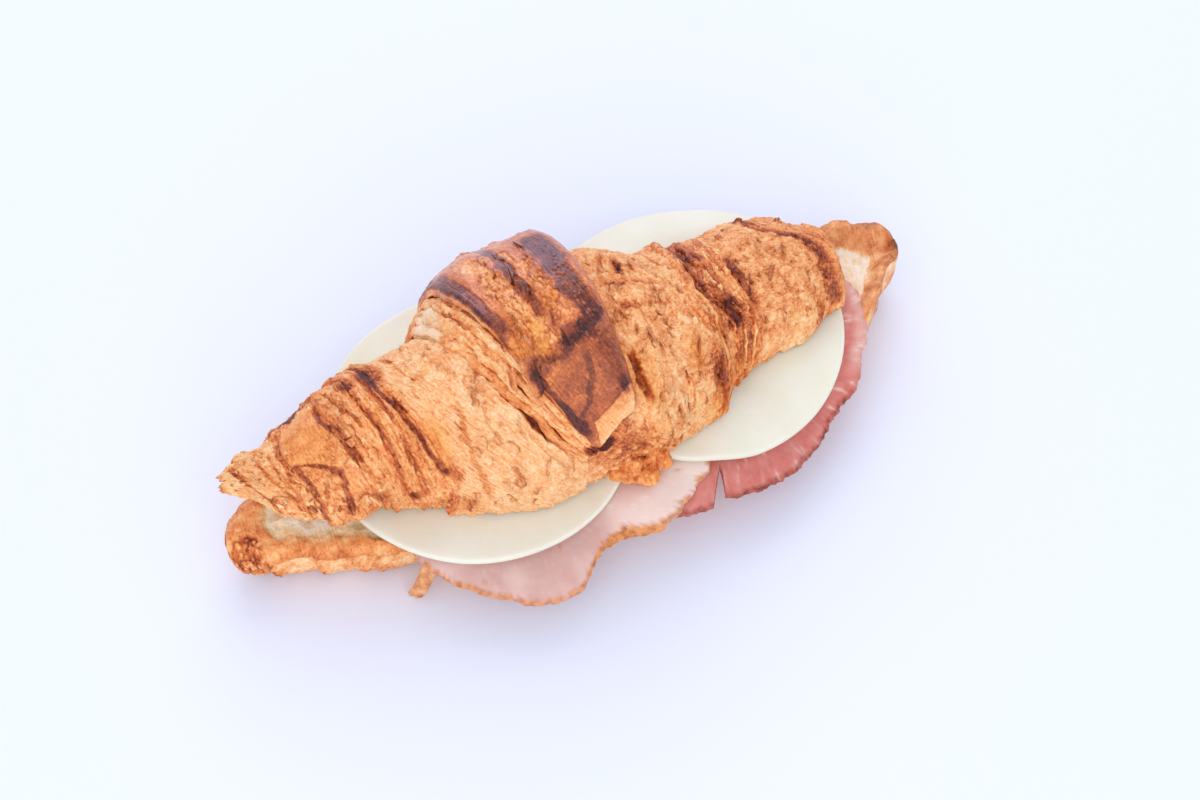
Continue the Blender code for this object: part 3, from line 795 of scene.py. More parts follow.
# The broad outermost layer: how far its left edge is set back from its foot at each lip angle, how
# thick it is, where it swells, and where and how it ends
HUMP_TOP_OFFSET = (6, 6.6, 6.4, 6, 5.5)
HUMP_THICKNESS = 10
HUMP_FRONT_THICKNESS = 7.5
HUMP_SWELL_ANGLES = (40, 110)
HUMP_BACK_FALL = 0.5
HUMP_END_ANGLE = 41
STRAND_END_ANGLE = 34
HUMP_END_SLANT = 0.8
HUMP_ROLL = 6


def lip_x(name, angle):
    """A lip's x at an angle, through its knots."""
    return through_knots(angle, LIP_ANGLES, LIPS[name])


def standing(x, angle, names):
    """How far the named layers stand out: each its lip height, fading inwards from the lip."""
    total = np.zeros_like(x)
    for name in names:
        height = LIFTS.get(name, RIGHT_LIFTS.get(name))
        inward = (lip_x(name, angle) - x) * (1 if name in RIGHT_LIFTS else -1)
        total = total + height * np.where(inward > 0, np.exp(-np.maximum(inward, 0) / LIP_FADE),
                                          np.exp(np.minimum(inward, 0) / 2))
    return total


def torn(angle, amount, seed):
    """A torn edge's sideways wander, worked out along the way round, in mm."""
    way = triple(np.radians(angle) * GIRTH, 0, seed * 31)
    return amount * rough_lumps(way, 8, 4, seed, 0.6)


def between(left, right, seed, torn_by=(0.7, 0), shift=(0, 0)):
    """Edge curves from one lip or x value to another."""
    def edge(end, angle):
        return lip_x(end, angle) if isinstance(end, str) else np.full_like(angle, end)

    def edges(angle):
        return (edge(left, angle) + shift[0] + torn(angle, torn_by[0], seed),
                edge(right, angle) + shift[1] + torn(angle, torn_by[1], seed + 50))
    return edges


def ragged_cut(seed, amount=2.2, flaps=()):
    """The layer's front end wanders up and down a few degrees; a flap hangs lower over the
    filling between its two x values."""
    def start(x):
        wander = amount * rough_lumps(triple(x, 0, seed * 5), 6, 3, seed)
        for first, last, drop in flaps:
            wander = wander - drop * plateau(first - 1, first + 1, last - 1, last + 1, x)
        return wander

    def end(x):
        return amount * 0.6 * rough_lumps(triple(x, 9, seed * 5), 6, 3, seed + 1)
    return start, end


# Marks on the lid, as in the photo. Lines: (angle, x) knots, half width, strength. Spots: x, angle,
# half length along x, half length round in mm, softness, strength
# Lines along the lips and at their feet are burnt edges with painted shade where a layer overhangs
# the next; the short line from x -58.3 to -61.5 is painted shade in a crease.
LEFT_MARKS = (
    (((2, -82.5), (21, -83.8), (34, -85.4), (50, -88.4), (77, -90), (125, -92)), 0.8, 0.3),
    (((30, -78), (45, -80), (70, -83), (100, -85)), 0.6, 0.18),
    (((10, -76), (45, -78), (70, -80.6), (110, -82)), 0.6, 0.18),
    (((45, -76.4), (61, -78), (77, -78.3), (95, -79), (115, -79)), 0.7, 0.22),
    (((2, -72.9), (27, -73.3), (44, -74.2), (58, -75.2), (69, -76.4)), 0.8, 0.24),
    (((49, -67.7), (57, -68.7), (65, -72.6), (69, -76)), 0.9, 0.3),
    (((15, -65.7), (20, -66.4), (32, -67), (44, -66.7), (54, -66.6)), 0.9, 0.3),
    (((54, -61), (62, -62.3), (74, -63.4), (86, -64.7), (103, -67), (118, -67.6)), 0.8, 0.28),
    (((78, -58.3), (87, -59.5), (95, -61.5)), 0.7, 0.2),
    (((26, -51.6), (36, -53.2), (48, -53.6), (62, -54), (71, -54.6), (85, -55.8), (100, -57.8),
      (136, -61)), 0.9, 0.16),
    (((30, -49), (52, -49.6), (64, -49.9), (78, -50.6), (104, -53.6), (124, -55.5)), 0.8, 0.18),
    (((41, -43.1), (54, -44.8), (66, -46), (78, -47.7), (88, -48.9), (107, -52.4),
      (148, -55.5)), 0.85, 0.36),
    (((20, -34.4), (34, -34.8), (45, -35.7), (59, -36.1), (75, -35.7)), 0.7, 0.18))
LEFT_DARK = (
    (-71, 90, 7, 15, 0.4, 0.06), (-58.4, 115, 2.2, 3, 0.5, 0.32), (-50.6, 27, 2.6, 2, 0.5, 0.25),
    (-52, 119, 3, 5, 0.5, 0.35), (-73, 140, 6, 3.5, 0.4, 0.5), (-89, 62, 1.2, 1.2, 0.5, 0.3),
    (-41, 42, 2, 2.2, 0.5, 0.22), (-41, 14, 4.5, 6, 0.5, 0.12), (-35.5, 104, 2.4, 1.8, 0.6, 0.14),
    (-41.7, 99, 1.8, 1.8, 0.6, 0.14))
LEFT_POLISH = (
    (-72.5, 100, 6.5, 13, 0.25, 1), (-65, 45, 3.2, 8, 0.3, 0.8), (-43, 60, 2.8, 8, 0.4, 0.6))
LEFT_AMBER = (
    (-42.2, 62, 2.4, 8.5, 0.5, 0.7), (-72, 88, 6.5, 14, 0.4, 0.45), (-54, 80, 1.2, 5, 0.6, 0.5))
# A groove along the hump's foot, and a dark line in it: painted shadow under the strands, partly a
# burnt crease
FOOT_GAP_AND_SHADOW = (
    ((33, -10.6), (38, -13.2), (45, -16.4), (50, -18.4), (57, -20.2), (67, -22.4), (76, -24.4)),
    0.9, 0.42)
STRAND_PALE = ((-36, 128, 4.4, 7.5, 0.4, 0.85),)
# Under the hump's lower end: a burnt recess, darkened further by painted shadow
STRAND_DARK = ((-6.4, 37, 4, 1.7, 0.4, 0.55),)
STRAND_MARKS = (
    (((38, -12.4), (48, -14.6), (60, -18), (70, -20.6), (79, -23.2), (84, -24.8)), 0.6, 0.4),)
HUMP_MARKS = (
    (((85, -19.6), (93, -21), (99, -23), (110, -24.8), (125, -27), (150, -31)), 1.9, 0.26),
    (((89, -10.4), (95, -11.5), (105, -12.5), (116, -13.2), (140, -16)), 1.5, 0.26),
    (((44, -8.8), (50, -10.4), (56, -12.8), (62, -15.2), (72, -17.4)), 1.3, 0.3),
    (((77, -2), (83, 0.6), (89, -0.4), (95, -1.6), (104, -2.4), (125, -4)), 3, 0.26),
    (((52, -9.6), (55, -7), (62, -5), (69, -4.2)), 0.8, 0.16),
    (((76, -11.8), (84, -12.6), (91, -14.4), (99, -15.8), (110, -17.8), (118, -19.6),
      (130, -21.4)), 2.5, -0.1),
    (((86, -6), (94, -6.8), (100, -8.4), (114, -10.2)), 1.5, -0.06))
HUMP_DARK = (
    (-4, 77.2, 4.4, 2, 0.3, 0.22), (-9.6, 74.6, 4.4, 1.6, 0.3, 0.22),
    (-15, 72.4, 3.6, 1.6, 0.3, 0.22), (2.6, 54, 1.3, 1.8, 0.6, 0.3), (-5, 60, 8.5, 8.5, 0.3, 0.16),
    (-8, 166, 16, 12, 0.6, -0.16), (2.4, 68, 3.2, 9, 0.5, 0.16), (-2, 118, 8, 7, 0.5, 0.08))
HUMP_AMBER = (
    (-7.4, 91.4, 2.2, 2.6, 0.4, 0.9), (-12.9, 80, 2.2, 4.4, 0.4, 0.9),
    (-18.2, 80.5, 2, 4.6, 0.4, 0.8), (-16, 98, 3.4, 10, 0.5, 0.3), (-8, 102, 2.4, 7, 0.5, 0.3),
    (-4, 58, 8, 9, 0.5, 0.25), (-13, 92, 8, 14, 0.5, 0.15))
HUMP_BLISTERS = (
    (-12.4, 82, 2.6, 5, 0.3, 1), (-15.4, 96, 3, 7, 0.3, 1), (-18.4, 112, 2.8, 7, 0.3, 1),
    (-7.6, 98, 2.4, 8, 0.3, 1), (-1, 88, 4, 12, 0.5, 0.6))
HUMP_POLISH = (
    (-12, 82, 60, 32, 0.2, 1), (-12.2, 81, 2.4, 4.6, 0.25, -1), (-15.2, 95, 2.8, 6, 0.25, -1),
    (-18.2, 111, 2.5, 6.5, 0.25, -1), (-7.6, 98, 2.2, 7.5, 0.25, -1))
RIGHT_CREVICE = (
    (((45, 8.6), (49, 7.9), (54, 7.6), (60, 7.3), (66, 7.4)), 0.9, 1.5),
    (((101, 12.4), (109, 13), (118, 13.6)), 0.8, 1.1))
RIGHT_MARKS = (
    # The first line is painted shade in the crevice by the hump's right edge
    (((45, 8.8), (49, 8.2), (54, 7.9), (60, 7.5), (66, 7.4)), 1.2, 0.3),
    (((49, 38.6), (58, 38.8), (69, 36.9), (78, 34), (88, 32.6), (99, 32), (125, 33.4)), 1.2, 0.2),
    (((48, 34.6), (56, 32.8), (68, 31.2)), 0.9, 0.2),
    (((106, 36), (114, 33.5), (150, 31)), 2.2, 0.18),
    (((50, 39.8), (59, 41), (69, 39.6)), 1.3, 0.3),
    (((36, 42.5), (48, 45), (62, 46.2), (78, 45.2), (100, 43)), 1.2, 0.15),
    (((10, 70), (21, 70.6), (48, 69.3), (67, 69.8), (86, 68.6), (98, 66), (107, 62), (119, 55.9),
      (150, 52)), 2.1, 0.24),
    (((2, 62.8), (14, 64.9), (32, 65)), 1.7, 0.24))
RIGHT_DARK = (
    # (24.8, 53) and (13.6, 112) are painted shade in hollows; (-5, 36.6) is the burnt recess under
    # the hump's end, darkened further by painted shadow
    (30.2, 36, 3, 7, 0.9, 0.22), (30, 20, 2, 9, 0.9, 0.16), (24.8, 53, 1.4, 4, 0.8, 0.18),
    (37.6, 65, 2.2, 7, 0.9, 0.11), (-5, 36.6, 5, 1.5, 0.4, 0.6), (13.6, 112, 0.9, 5, 0.4, 0.4),
    (4, 12, 8, 6, 0.6, 0.18), (0, 28, 9, 4, 0.5, 0.16), (60, 18, 14, 8, 0.6, -0.1),
    (20, 18, 10, 8, 0.6, -0.12))
RIGHT_AMBER = (
    (14, 16, 15, 9, 0.6, 0.55), (58, 24, 9, 7, 0.6, 0.4), (24.6, 56, 2.2, 5, 0.5, 0.9),
    (8.6, 55, 3.6, 8, 0.5, 0.7), (33, 56, 2, 5, 0.5, 0.7), (35, 18, 12, 8, 0.5, 0.5))
RIGHT_CRUMBS = ((3, 12, 10, 8, 0.5, 1), (9, 60, 3, 9, 0.5, 0.6))
RIGHT_HOLLOW = ((13.8, 113, 0.9, 4.5, 0.4, 1.6), (25, 52, 0.8, 1.6, 0.6, 0.7))


def pleat_steps(x, angle, warp):
    """Right of the hump two folds run lengthwise: a ridge between its upper and lower crease."""
    along = plateau(7, 9, 20, 25, x)
    tilted = angle + 0.25 * (x - 14) + 2.4 * warp
    ridge = plateau(86, 88, 97, 99, tilted)
    second = plateau(100.5, 103, 108, 114, tilted)
    lines = hump_curve(tilted, 87, 1.1) + hump_curve(tilted, 99.6, 1.4)
    curl = hump_curve(x + 0.12 * (angle - 113), 11.4, 2) * hump_curve(angle, 113, 9)
    return (along * (0.6 * ridge + 0.5 * second) + 2.4 * curl,
            along * (0.18 * lines + 0.02 * ridge) + 0.08 * curl)


# Where the hump's outermost sheet has flaked off: a line of (angle, x), half width
GOLD_ZONES = (
    (((75, -12), (84, -12.4), (91, -14.2), (100, -15.2), (110, -17.4), (120, -19.6),
      (128, -21)), 2.6),
    (((84, -5.6), (94, -6.4), (100, -8.4), (114, -10.8), (122, -12)), 1.6),
    (((78, -18.4), (88, -19.6)), 1.2))


# The patch at the hump's lower end: its top's angle and slant, and the x of its two sides
PATCH_TOP_ANGLE = 47.6
PATCH_SLANT = 0.6
PATCH_SIDES = (-6.6, 4.2)


def torn_sheet(x, angle, warp):
    """Where the hump's outermost sheet is gone. At its lower end it is torn off in a slanting
    four-sided patch with a thin dark edge. Along the middle it has flaked off in ragged islands
    (the share of a zone's width, plus noise, cut off sharply), which show crumbly, paler dough."""
    way = np.radians(angle) * GIRTH
    spot = triple(x, way, 61)
    ragged = rough_lumps(spot, 3.4, 4, 62, 0.6)
    crumbs = rough_lumps(spot, 1.1, 2, 63)
    flaked = np.full_like(x, -2)
    for knots, half_width in GOLD_ZONES:
        angles, places = zip(*knots)
        line = np.interp(angle, angles, places)
        ends = plateau(angles[0] - 5, angles[0], angles[-1], angles[-1] + 5, angle)
        flaked = np.maximum(flaked, ends * (1 - np.abs(x - line) / half_width) - 2 * (1 - ends))
    level = flaked + 0.9 * ragged - 0.15
    gone = smooth_step(0, 0.12, level)
    rim = hump_curve(level, -0.02, 0.06) * (flaked > -0.5)
    crumbly = (gone * (-0.35 + 0.3 * crumbs), gone * (-0.1 - 0.16 * crumbs) + 0.16 * rim)
    top = PATCH_TOP_ANGLE + PATCH_SLANT * (x + 7) + warp - angle
    aside = np.minimum(x - PATCH_SIDES[0] + 0.4 * warp, PATCH_SIDES[1] - x + 0.4 * warp)
    inside = smooth_step(-0.4, 0.4, top) * smooth_step(-0.3, 0.3, aside)
    line = hump_curve(np.minimum(top, 2 * aside), 0, 0.7)
    return (crumbly[0] - 0.35 * inside, crumbly[1] - 0.3 * inside + 0.1 * line)


def hump_lift(share, end_angle):
    """The broad outermost layer's height: full at the crown, less in front, blunt at its lower end
    and rolled down along its right edge; a strand below it has a share of this."""
    def lift(x, angle):
        swell = smooth_step(*HUMP_SWELL_ANGLES, angle)
        full = HUMP_FRONT_THICKNESS + (HUMP_THICKNESS - HUMP_FRONT_THICKNESS) * swell
        nose = 0.62 + 0.38 * smooth_step(end_angle, end_angle + 16, angle)
        nose = nose * (1 - HUMP_BACK_FALL * smooth_step(145, 180, angle))
        inward = clip01((lip_x("hump right", angle) - x) / HUMP_ROLL)
        roll = 0.3 + 0.7 * np.sqrt(1 - (1 - inward) ** 2)
        return standing(x, angle, LEFT_LIPS[2:]) + full * share * nose * roll
    return lift


def hump_edges(share, seed, right_in, end_angle, wander):
    """Its left edge is set back from the foot by a share of the step; both edges draw in at the
    lower end."""
    def edges(angle):
        close = fade(end_angle - 2, end_angle + 6, angle)
        offset = share * through_knots(angle, LIP_ANGLES, HUMP_TOP_OFFSET)
        start = lip_x("hump foot", angle) + offset + torn(angle, wander, seed) + close
        end = lip_x("hump right", angle) - right_in + torn(angle, 0.3, seed + 3) - 1.6 * close
        return start, np.maximum(end, start + 2)
    return edges


def hump_cut(x):
    """The hump's lower end is cut on a slant, with a slight wander, in degrees."""
    wander = 0.9 * rough_lumps(triple(x, 0, 340), 4, 3, 68)
    return HUMP_END_SLANT * np.clip(x + 2.4, -9, 2) + wander


def cord(middle, half_width, base, rise):
    """A round strand's edges and lift: a line of x by angle, and a dome over its width."""
    def edges(angle):
        return middle(angle) - half_width, middle(angle) + half_width

    def lift(x, angle):
        part = np.clip((x - middle(angle)) / (half_width + 0.4), -1, 1)
        return base(x, angle) + rise * (1 - part**2)
    return edges, lift


# Crumbly lumps that hang from the front edge: name, centre, radii and noise seed
CLUMPS = (
    ("clump_low", (5.4, -30.4, 23.9), (4, 3.4, 3.2), 401),
    ("clump_left", (0.4, -29, 25.8), (4, 2.8, 2.9), 402),
    ("clump_right", (9.2, -28.4, 25.6), (3.2, 2.6, 2.6), 403))


def clump(name, centre, radii, material, seed):
    """A ball of crumbled crust: an ellipsoid in rings from pole to pole, pushed in and out by
    noise and by grains (the distance to random points)."""
    rings, count = 44, 72
    down = np.linspace(0, np.pi, rings + 2)[1:-1][:, None]
    round_it = np.linspace(0, 2 * np.pi, count, endpoint=False)[None, :]
    facing = triple(np.sin(down) * np.cos(round_it), np.sin(down) * np.sin(round_it), np.cos(down))
    bare = np.asarray(centre) + facing * np.asarray(radii)
    reach, share = nearest_cell(bare, 1.2, seed)
    broad = rough_lumps(bare, 4.2, 4, seed)
    ball = bare + facing * (1.7 * broad + 0.3 * (0.6 - reach) + 0.3 * share)[..., None]
    bake = 0.36 - 0.12 * broad + 0.14 * smooth_step(0.3, 0.9, reach)
    fields = finish_of(bake, 0.3, 0, 0.2, bare[..., 0], bare[..., 1])
    return make_piece(name, *closed_rings(ball), with_poles(fields, bake.shape), material)


def build_lid(dough, glazed):
    """The lid: layers from both tips inwards, then the broad outermost layer with its strands."""
    pieces = []

    def lay(name, edges, lift, detail, material=dough, angles=(0, 180), loose=None, **more):
        number = len(pieces) + 3
        more.setdefault("ragged", ragged_cut(number))
        pieces.append(leaf("crust_" + name, edges, angles, lift, detail, material, seed=number,
                           **more))
        if loose is not None:
            pieces.append(flakes("flakes_" + name, lift, detail, loose[0], loose[1:], material,
                                 300 + number))

    left = dict(marks=LEFT_MARKS, dark=LEFT_DARK, amber=LEFT_AMBER, polish=LEFT_POLISH)
    right = dict(marks=RIGHT_MARKS, dark=RIGHT_DARK, amber=RIGHT_AMBER, hollow=RIGHT_HOLLOW)

    def stand(names, sink=0):
        return lambda x, angle: standing(x, angle, names) - sink

    # left end: thin torn sheets
    lay("left_tip", between(-94.4, "left 4", 1, (1.2, 0), (0, 6)), stand((), 0.2),
        crust(3, 0.15, pleat=0.8, fibre=0.3, follow="left 4", **left), count=(60, 120))
    for n, inset in enumerate((0, 2.6, 5.6)):
        lay(f"left_layer_4{'abc'[n]}", between("left 4", "left 3", 5 + n, (1.3, 0), (inset, 6)),
            stand(LEFT_LIPS[:1], 1.2 - 0.6 * n),
            crust(7 + n, 0.2, pleat=0.8, fibre=0.3, follow="left 3", **left),
            count=(80, 160) if n == 2 else (50, 150), edge_thick=1.1,
            loose=(16, -90, -81, 15, 120) if n == 2 else None)
    lay("left_layer_3", between("left 3", "left 2", 11, (0.8, 0), (0, 8)), stand(LEFT_LIPS[:2]),
        crust(11, 0.31, swell=0.7, glaze=0.6, streak=0.14, follow="left 3", **left),
        count=(120, 210), inner_thick=3, loose=(16, -78, -66, 10, 60))
    for n, inset in enumerate((0, 1.5, 3.4)):
        lay(f"left_layer_2{'abc'[n]}", between("left 2", "left 2d", 13 + n, (1, 0), (inset, 6)),
            stand(LEFT_LIPS[:3], 1.8 - 0.9 * n),
            crust(14 + n, 0.25, pleat=0.8, pleat_size=1.8, pleat_tone=0.1, stretch=9,
                  follow="left 2", **left),
            count=(80, 250) if n == 2 else (46, 240), edge_thick=1.2, undercut=0.5,
            loose=(24, -63, -56, 15, 130) if n == 2 else None)
    for n, (first, last, overlap, sink, thick, undercut) in enumerate((
            ("left 2d", "left 2e", 5, -0.6, 1.7, 0.8), ("left 2e", "left 1", 7, -1.2, 1.1, 0))):
        lay(f"left_layer_2{'de'[n]}", between(first, last, 17 + 2 * n, (0.9, 0), (0, overlap)),
            stand(LEFT_LIPS[:4], sink),
            crust(18 + 2 * n, 0.28, pleat=0.8, pleat_size=1.7, pleat_tone=0.12, stretch=9,
                  follow=first, **left),
            count=(56 + 4 * n, 250), edge_thick=thick, undercut=undercut)
    lay("left_layer_1a", between("left 1", "left 1", 23, (0.8, 0), (0, 12)), stand(LEFT_LIPS, -0.1),
        crust(24, 0.26, follow="left 1", **left), count=(76, 290), edge_thick=1.4, undercut=0.5,
        ragged=ragged_cut(23, 2, ((-45, -37, 6),)))
    lay("left_layer_1b", between("left 1", "pale end", 25, (0.9, 0.7), (1.8, 0)),
        stand(LEFT_LIPS, -0.9),
        crust(26, 0.195, swell=0.8, pleat=0.4, pleat_size=2.6, terrace=0.18, fibre=0.22, grit=0.2,
              streak=0.08, glaze=0.12, mottle=0.06, side_tone=0.3, sheet_line=0.1, floury=0.1,
              follow="hump foot", grooves=((FOOT_GAP_AND_SHADOW[0], 1.2, 1.8),),
              **{**left, "marks": LEFT_MARKS + (FOOT_GAP_AND_SHADOW,)}),
        count=(220, 340), edge_thick=1.3, ragged=ragged_cut(25, 2, ((-42, -38, 3),)),
        loose=(70, -46, -16, 8, 130))
    # right side
    lay("right_tip", between("right 3", 76.6, 31, shift=(-8, 0)),
        lambda x, a: 2.2 * smooth_step(66, 74, x),
        crust(33, 0.36, glaze=0.5, follow="right 3", **right), count=(70, 140))
    lay("right_layer_3", between(25, "right 3", 35, (0, 0.6)), stand(RIGHT_LIPS[1:]),
        crust(37, 0.3, swell=0.9, pleat=0.3, terrace=0.16, fibre=0.15, grit=0.28, scaly=0.3,
              streak=0.07, sheet_line=0.1, floury=0.12, glaze=0.35, edge_tone=0.1, follow="right 3",
              stretch=1.3, **right),
        count=(190, 280), inner_thick=3, loose=(40, 46, 66, 15, 140))
    lay("right_layer_2", between(20, "right 2", 41, (0, 1)), stand(RIGHT_LIPS, 0.9),
        crust(44, 0.32, pleat=0.9, pleat_size=2.4, pleat_tone=0.2, fibre=0.3, glaze=0.45,
              follow="right 2", **right),
        count=(130, 280), edge_thick=1.5, undercut=0.5, loose=(14, 34, 44, 20, 100))
    for n, (lip, shift, half_width, rise, tone) in enumerate(CORDS):
        edges, lift = cord(
            lambda a, lip=lip, shift=shift, n=n: lip_x(lip, a) + shift + torn(a, 1.5, 81 + n),
            half_width, stand(RIGHT_LIPS, 0.9), rise)
        lay(f"right_cord_{n}", edges, lift,
            crust(84 + n, tone, swell=0.5, pleat=0.35, pleat_size=1.8, fibre=0.3, terrace=0.15,
                  side_tone=0.3, glaze=0.5, edge_tone=0.1, follow=lip, **right),
            angles=(6, 180), count=(26, 200), edge_thick=1.9, rounding=0.95, undercut=0.4)
    lay("right_layer_1", between(-18, "right 1", 51, (0, 1.3)), stand(RIGHT_LIPS, -0.3),
        crust(53, 0.24, blister=0.8, blisters=RIGHT_CRUMBS, swell=0.9, pleat=0.35, pleat_size=3,
              terrace=0.16, fibre=0.16, grit=0.34, scaly=0.32, follow="right 1", stretch=1,
              streak=0.07, sheet_line=0.08, floury=0.1, extra=pleat_steps, grooves=RIGHT_CREVICE,
              **right),
        count=(244, 350), edge_thick=1.8, inner_thick=3.6, undercut=0.6,
        ragged=ragged_cut(51, 2.2, ((-5, 13, 3), (1, 9.5, 6))),
        loose=(70, 8, 29, 10, 120))

    # The strands' dark tone and darker sides read as the gaps between the foot cords: partly their
    # own colour, partly painted shade
    for n, (share, level) in enumerate(((0, 0.22), (0.33, 0.42), (0.68, 0.66))):
        lay(f"hump_strand_{'abc'[n]}",
            hump_edges(share, 61 + n * 2, 3, STRAND_END_ANGLE, 1.2),
            hump_lift(level, STRAND_END_ANGLE),
            crust(71 + n, 0.42, pleat=0.35, fibre=0.25, glaze=0.2, edge_width=0.6,
                  side_tone=0.55, follow="hump foot", pale=STRAND_PALE, marks=STRAND_MARKS,
                  dark=STRAND_DARK),
            count=(56, 330), angles=(STRAND_END_ANGLE, 180), edge_thick=2.4, inner_thick=3.2,
            rounding=1, sheets=0.8, undercut=2.2 if n == 0 else 0.8, ragged=None)
    for n, (share, half_width, level, rise, tone) in enumerate(FOOT_CORDS):
        edges, lift = cord(
            lambda a, share=share, n=n: lip_x("hump foot", a) + torn(a, 1, 91 + n)
            + share * through_knots(a, LIP_ANGLES, HUMP_TOP_OFFSET),
            half_width, hump_lift(level, STRAND_END_ANGLE), rise)
        lay(f"foot_cord_{n}", edges, lift,
            crust(94 + n, tone, swell=0.4, pleat=0.4, pleat_size=1.4, fibre=0.25, terrace=0.15,
                  side_tone=0.4, glaze=0.2, edge_tone=0.12, follow="hump foot", pale=STRAND_PALE,
                  dark=STRAND_DARK),
            count=(28, 280), angles=(STRAND_END_ANGLE - 1 + n, 180), edge_thick=1.8, rounding=0.9,
            undercut=0.5, ragged=None)
    lay("hump", hump_edges(1, 67, 0, HUMP_END_ANGLE, 0.5), hump_lift(1, HUMP_END_ANGLE),
        crust(77, 0.46, swell=0.5, pleat=0.45, terrace=0.35, blister=0.55, mottle=0.06,
              marks=HUMP_MARKS, dark=HUMP_DARK, amber=HUMP_AMBER, polish=HUMP_POLISH,
              blisters=HUMP_BLISTERS, glaze=0.75, edge_tone=0.2, follow="hump foot",
              extra=torn_sheet, soft=0.28, blister_size=1.4),
        material=glazed, angles=(HUMP_END_ANGLE, 180), count=(200, 420), edge_thick=2.6,
        inner_thick=3.4, rounding=1.1, ragged=(hump_cut, ragged_cut(68, 4)[1]),
        loose=(26, -22, -6, 70, 125))
    for name, centre, radii, seed in CLUMPS:
        pieces.append(clump("crust_" + name, centre, radii, dough, seed))
    for piece in pieces:
        rest(piece, "croissant_lid")


# ---------------------------------------------------------------- bodies with a cut face
FACE_POINTS = 96
BASE_COUNT = (356, 132)
LID_CRUMB_COUNT = (170, 40)
BASE_MIDDLE_X = -1.4
BASE_HALF_LENGTH = 96.9
BASE_RIM_LEFT = 4.5
# The knob's porous burnt end: x and y of its middle, and its radii
ROSETTE = (-94, -10.8, 4.6, 4.4)
# Where the belly's layers end, and which way they face
BASE_LIPS = (
    (-88, -1), (-78, -1), (-63, -1), (-46, -1), (-30, -1), (12, 1), (33, 1), (58, 1), (76, 1),
    (87, 1))


def body(name, skin, along, around, face_height, detail, face_detail, material, inside_out):
    """A closed half of the croissant: rings across it, each an arc of the skin and a cut face
    that runs straight back to the arc's start, with a fan at both ends."""
    x = along[:, None]
    arc_x = np.repeat(x, len(around), axis=1)
    arc_angle = np.repeat(around[None, :], len(along), axis=0)
    bare = skin(arc_x, arc_angle, np.zeros_like(arc_x))
    relief, arc_fields = detail(bare, arc_x, arc_angle)
    arc = skin(arc_x, arc_angle, relief)
    share = np.linspace(0, 1, FACE_POINTS + 2)[1:-1][None, :]
    back, front = arc[:, -1:, 1], arc[:, :1, 1]
    y = back + (front - back) * share
    face_x = np.repeat(x, FACE_POINTS, axis=1)
    edge = np.minimum(back - y, y - front)
    drop, face_fields = face_detail(face_x, y, edge)
    face = np.stack((face_x, y, face_height(face_x, y, edge) + drop), axis=-1)
    ring = np.concatenate((arc, face), axis=1)
    fields = {field: np.concatenate((arc_fields[field] + 0 * arc_x,
                                     face_fields[field] + 0 * face_x), axis=1)
              for field in DOUGH_FIELDS}
    return make_piece(name, *closed_rings(ring, inside_out), with_poles(fields, ring.shape[:2]),
                      material)


def torn_crumb(x, y, depth, seed):
    """Torn crumb: large and small pores as dips round random points, over soft lumps."""
    spot = triple(x, y, seed * 3)
    uneven = rough_lumps(spot, 7, 3, seed)
    wide, share = nearest_cell(spot + 0.7 * triple(uneven, -uneven, 0), 4.6, seed + 1)
    small, _ = nearest_cell(spot, 1.9, seed + 2)
    pore = clip01(1 - wide / (1 + 1.6 * share))
    dimple = clip01(1 - small / 0.8)
    drop = depth * (0.5 * uneven - 1.3 * pore**0.7 - 0.4 * dimple)
    tone = 0.22 + 0.16 * uneven + 0.4 * pore + 0.2 * dimple
    return drop, tone


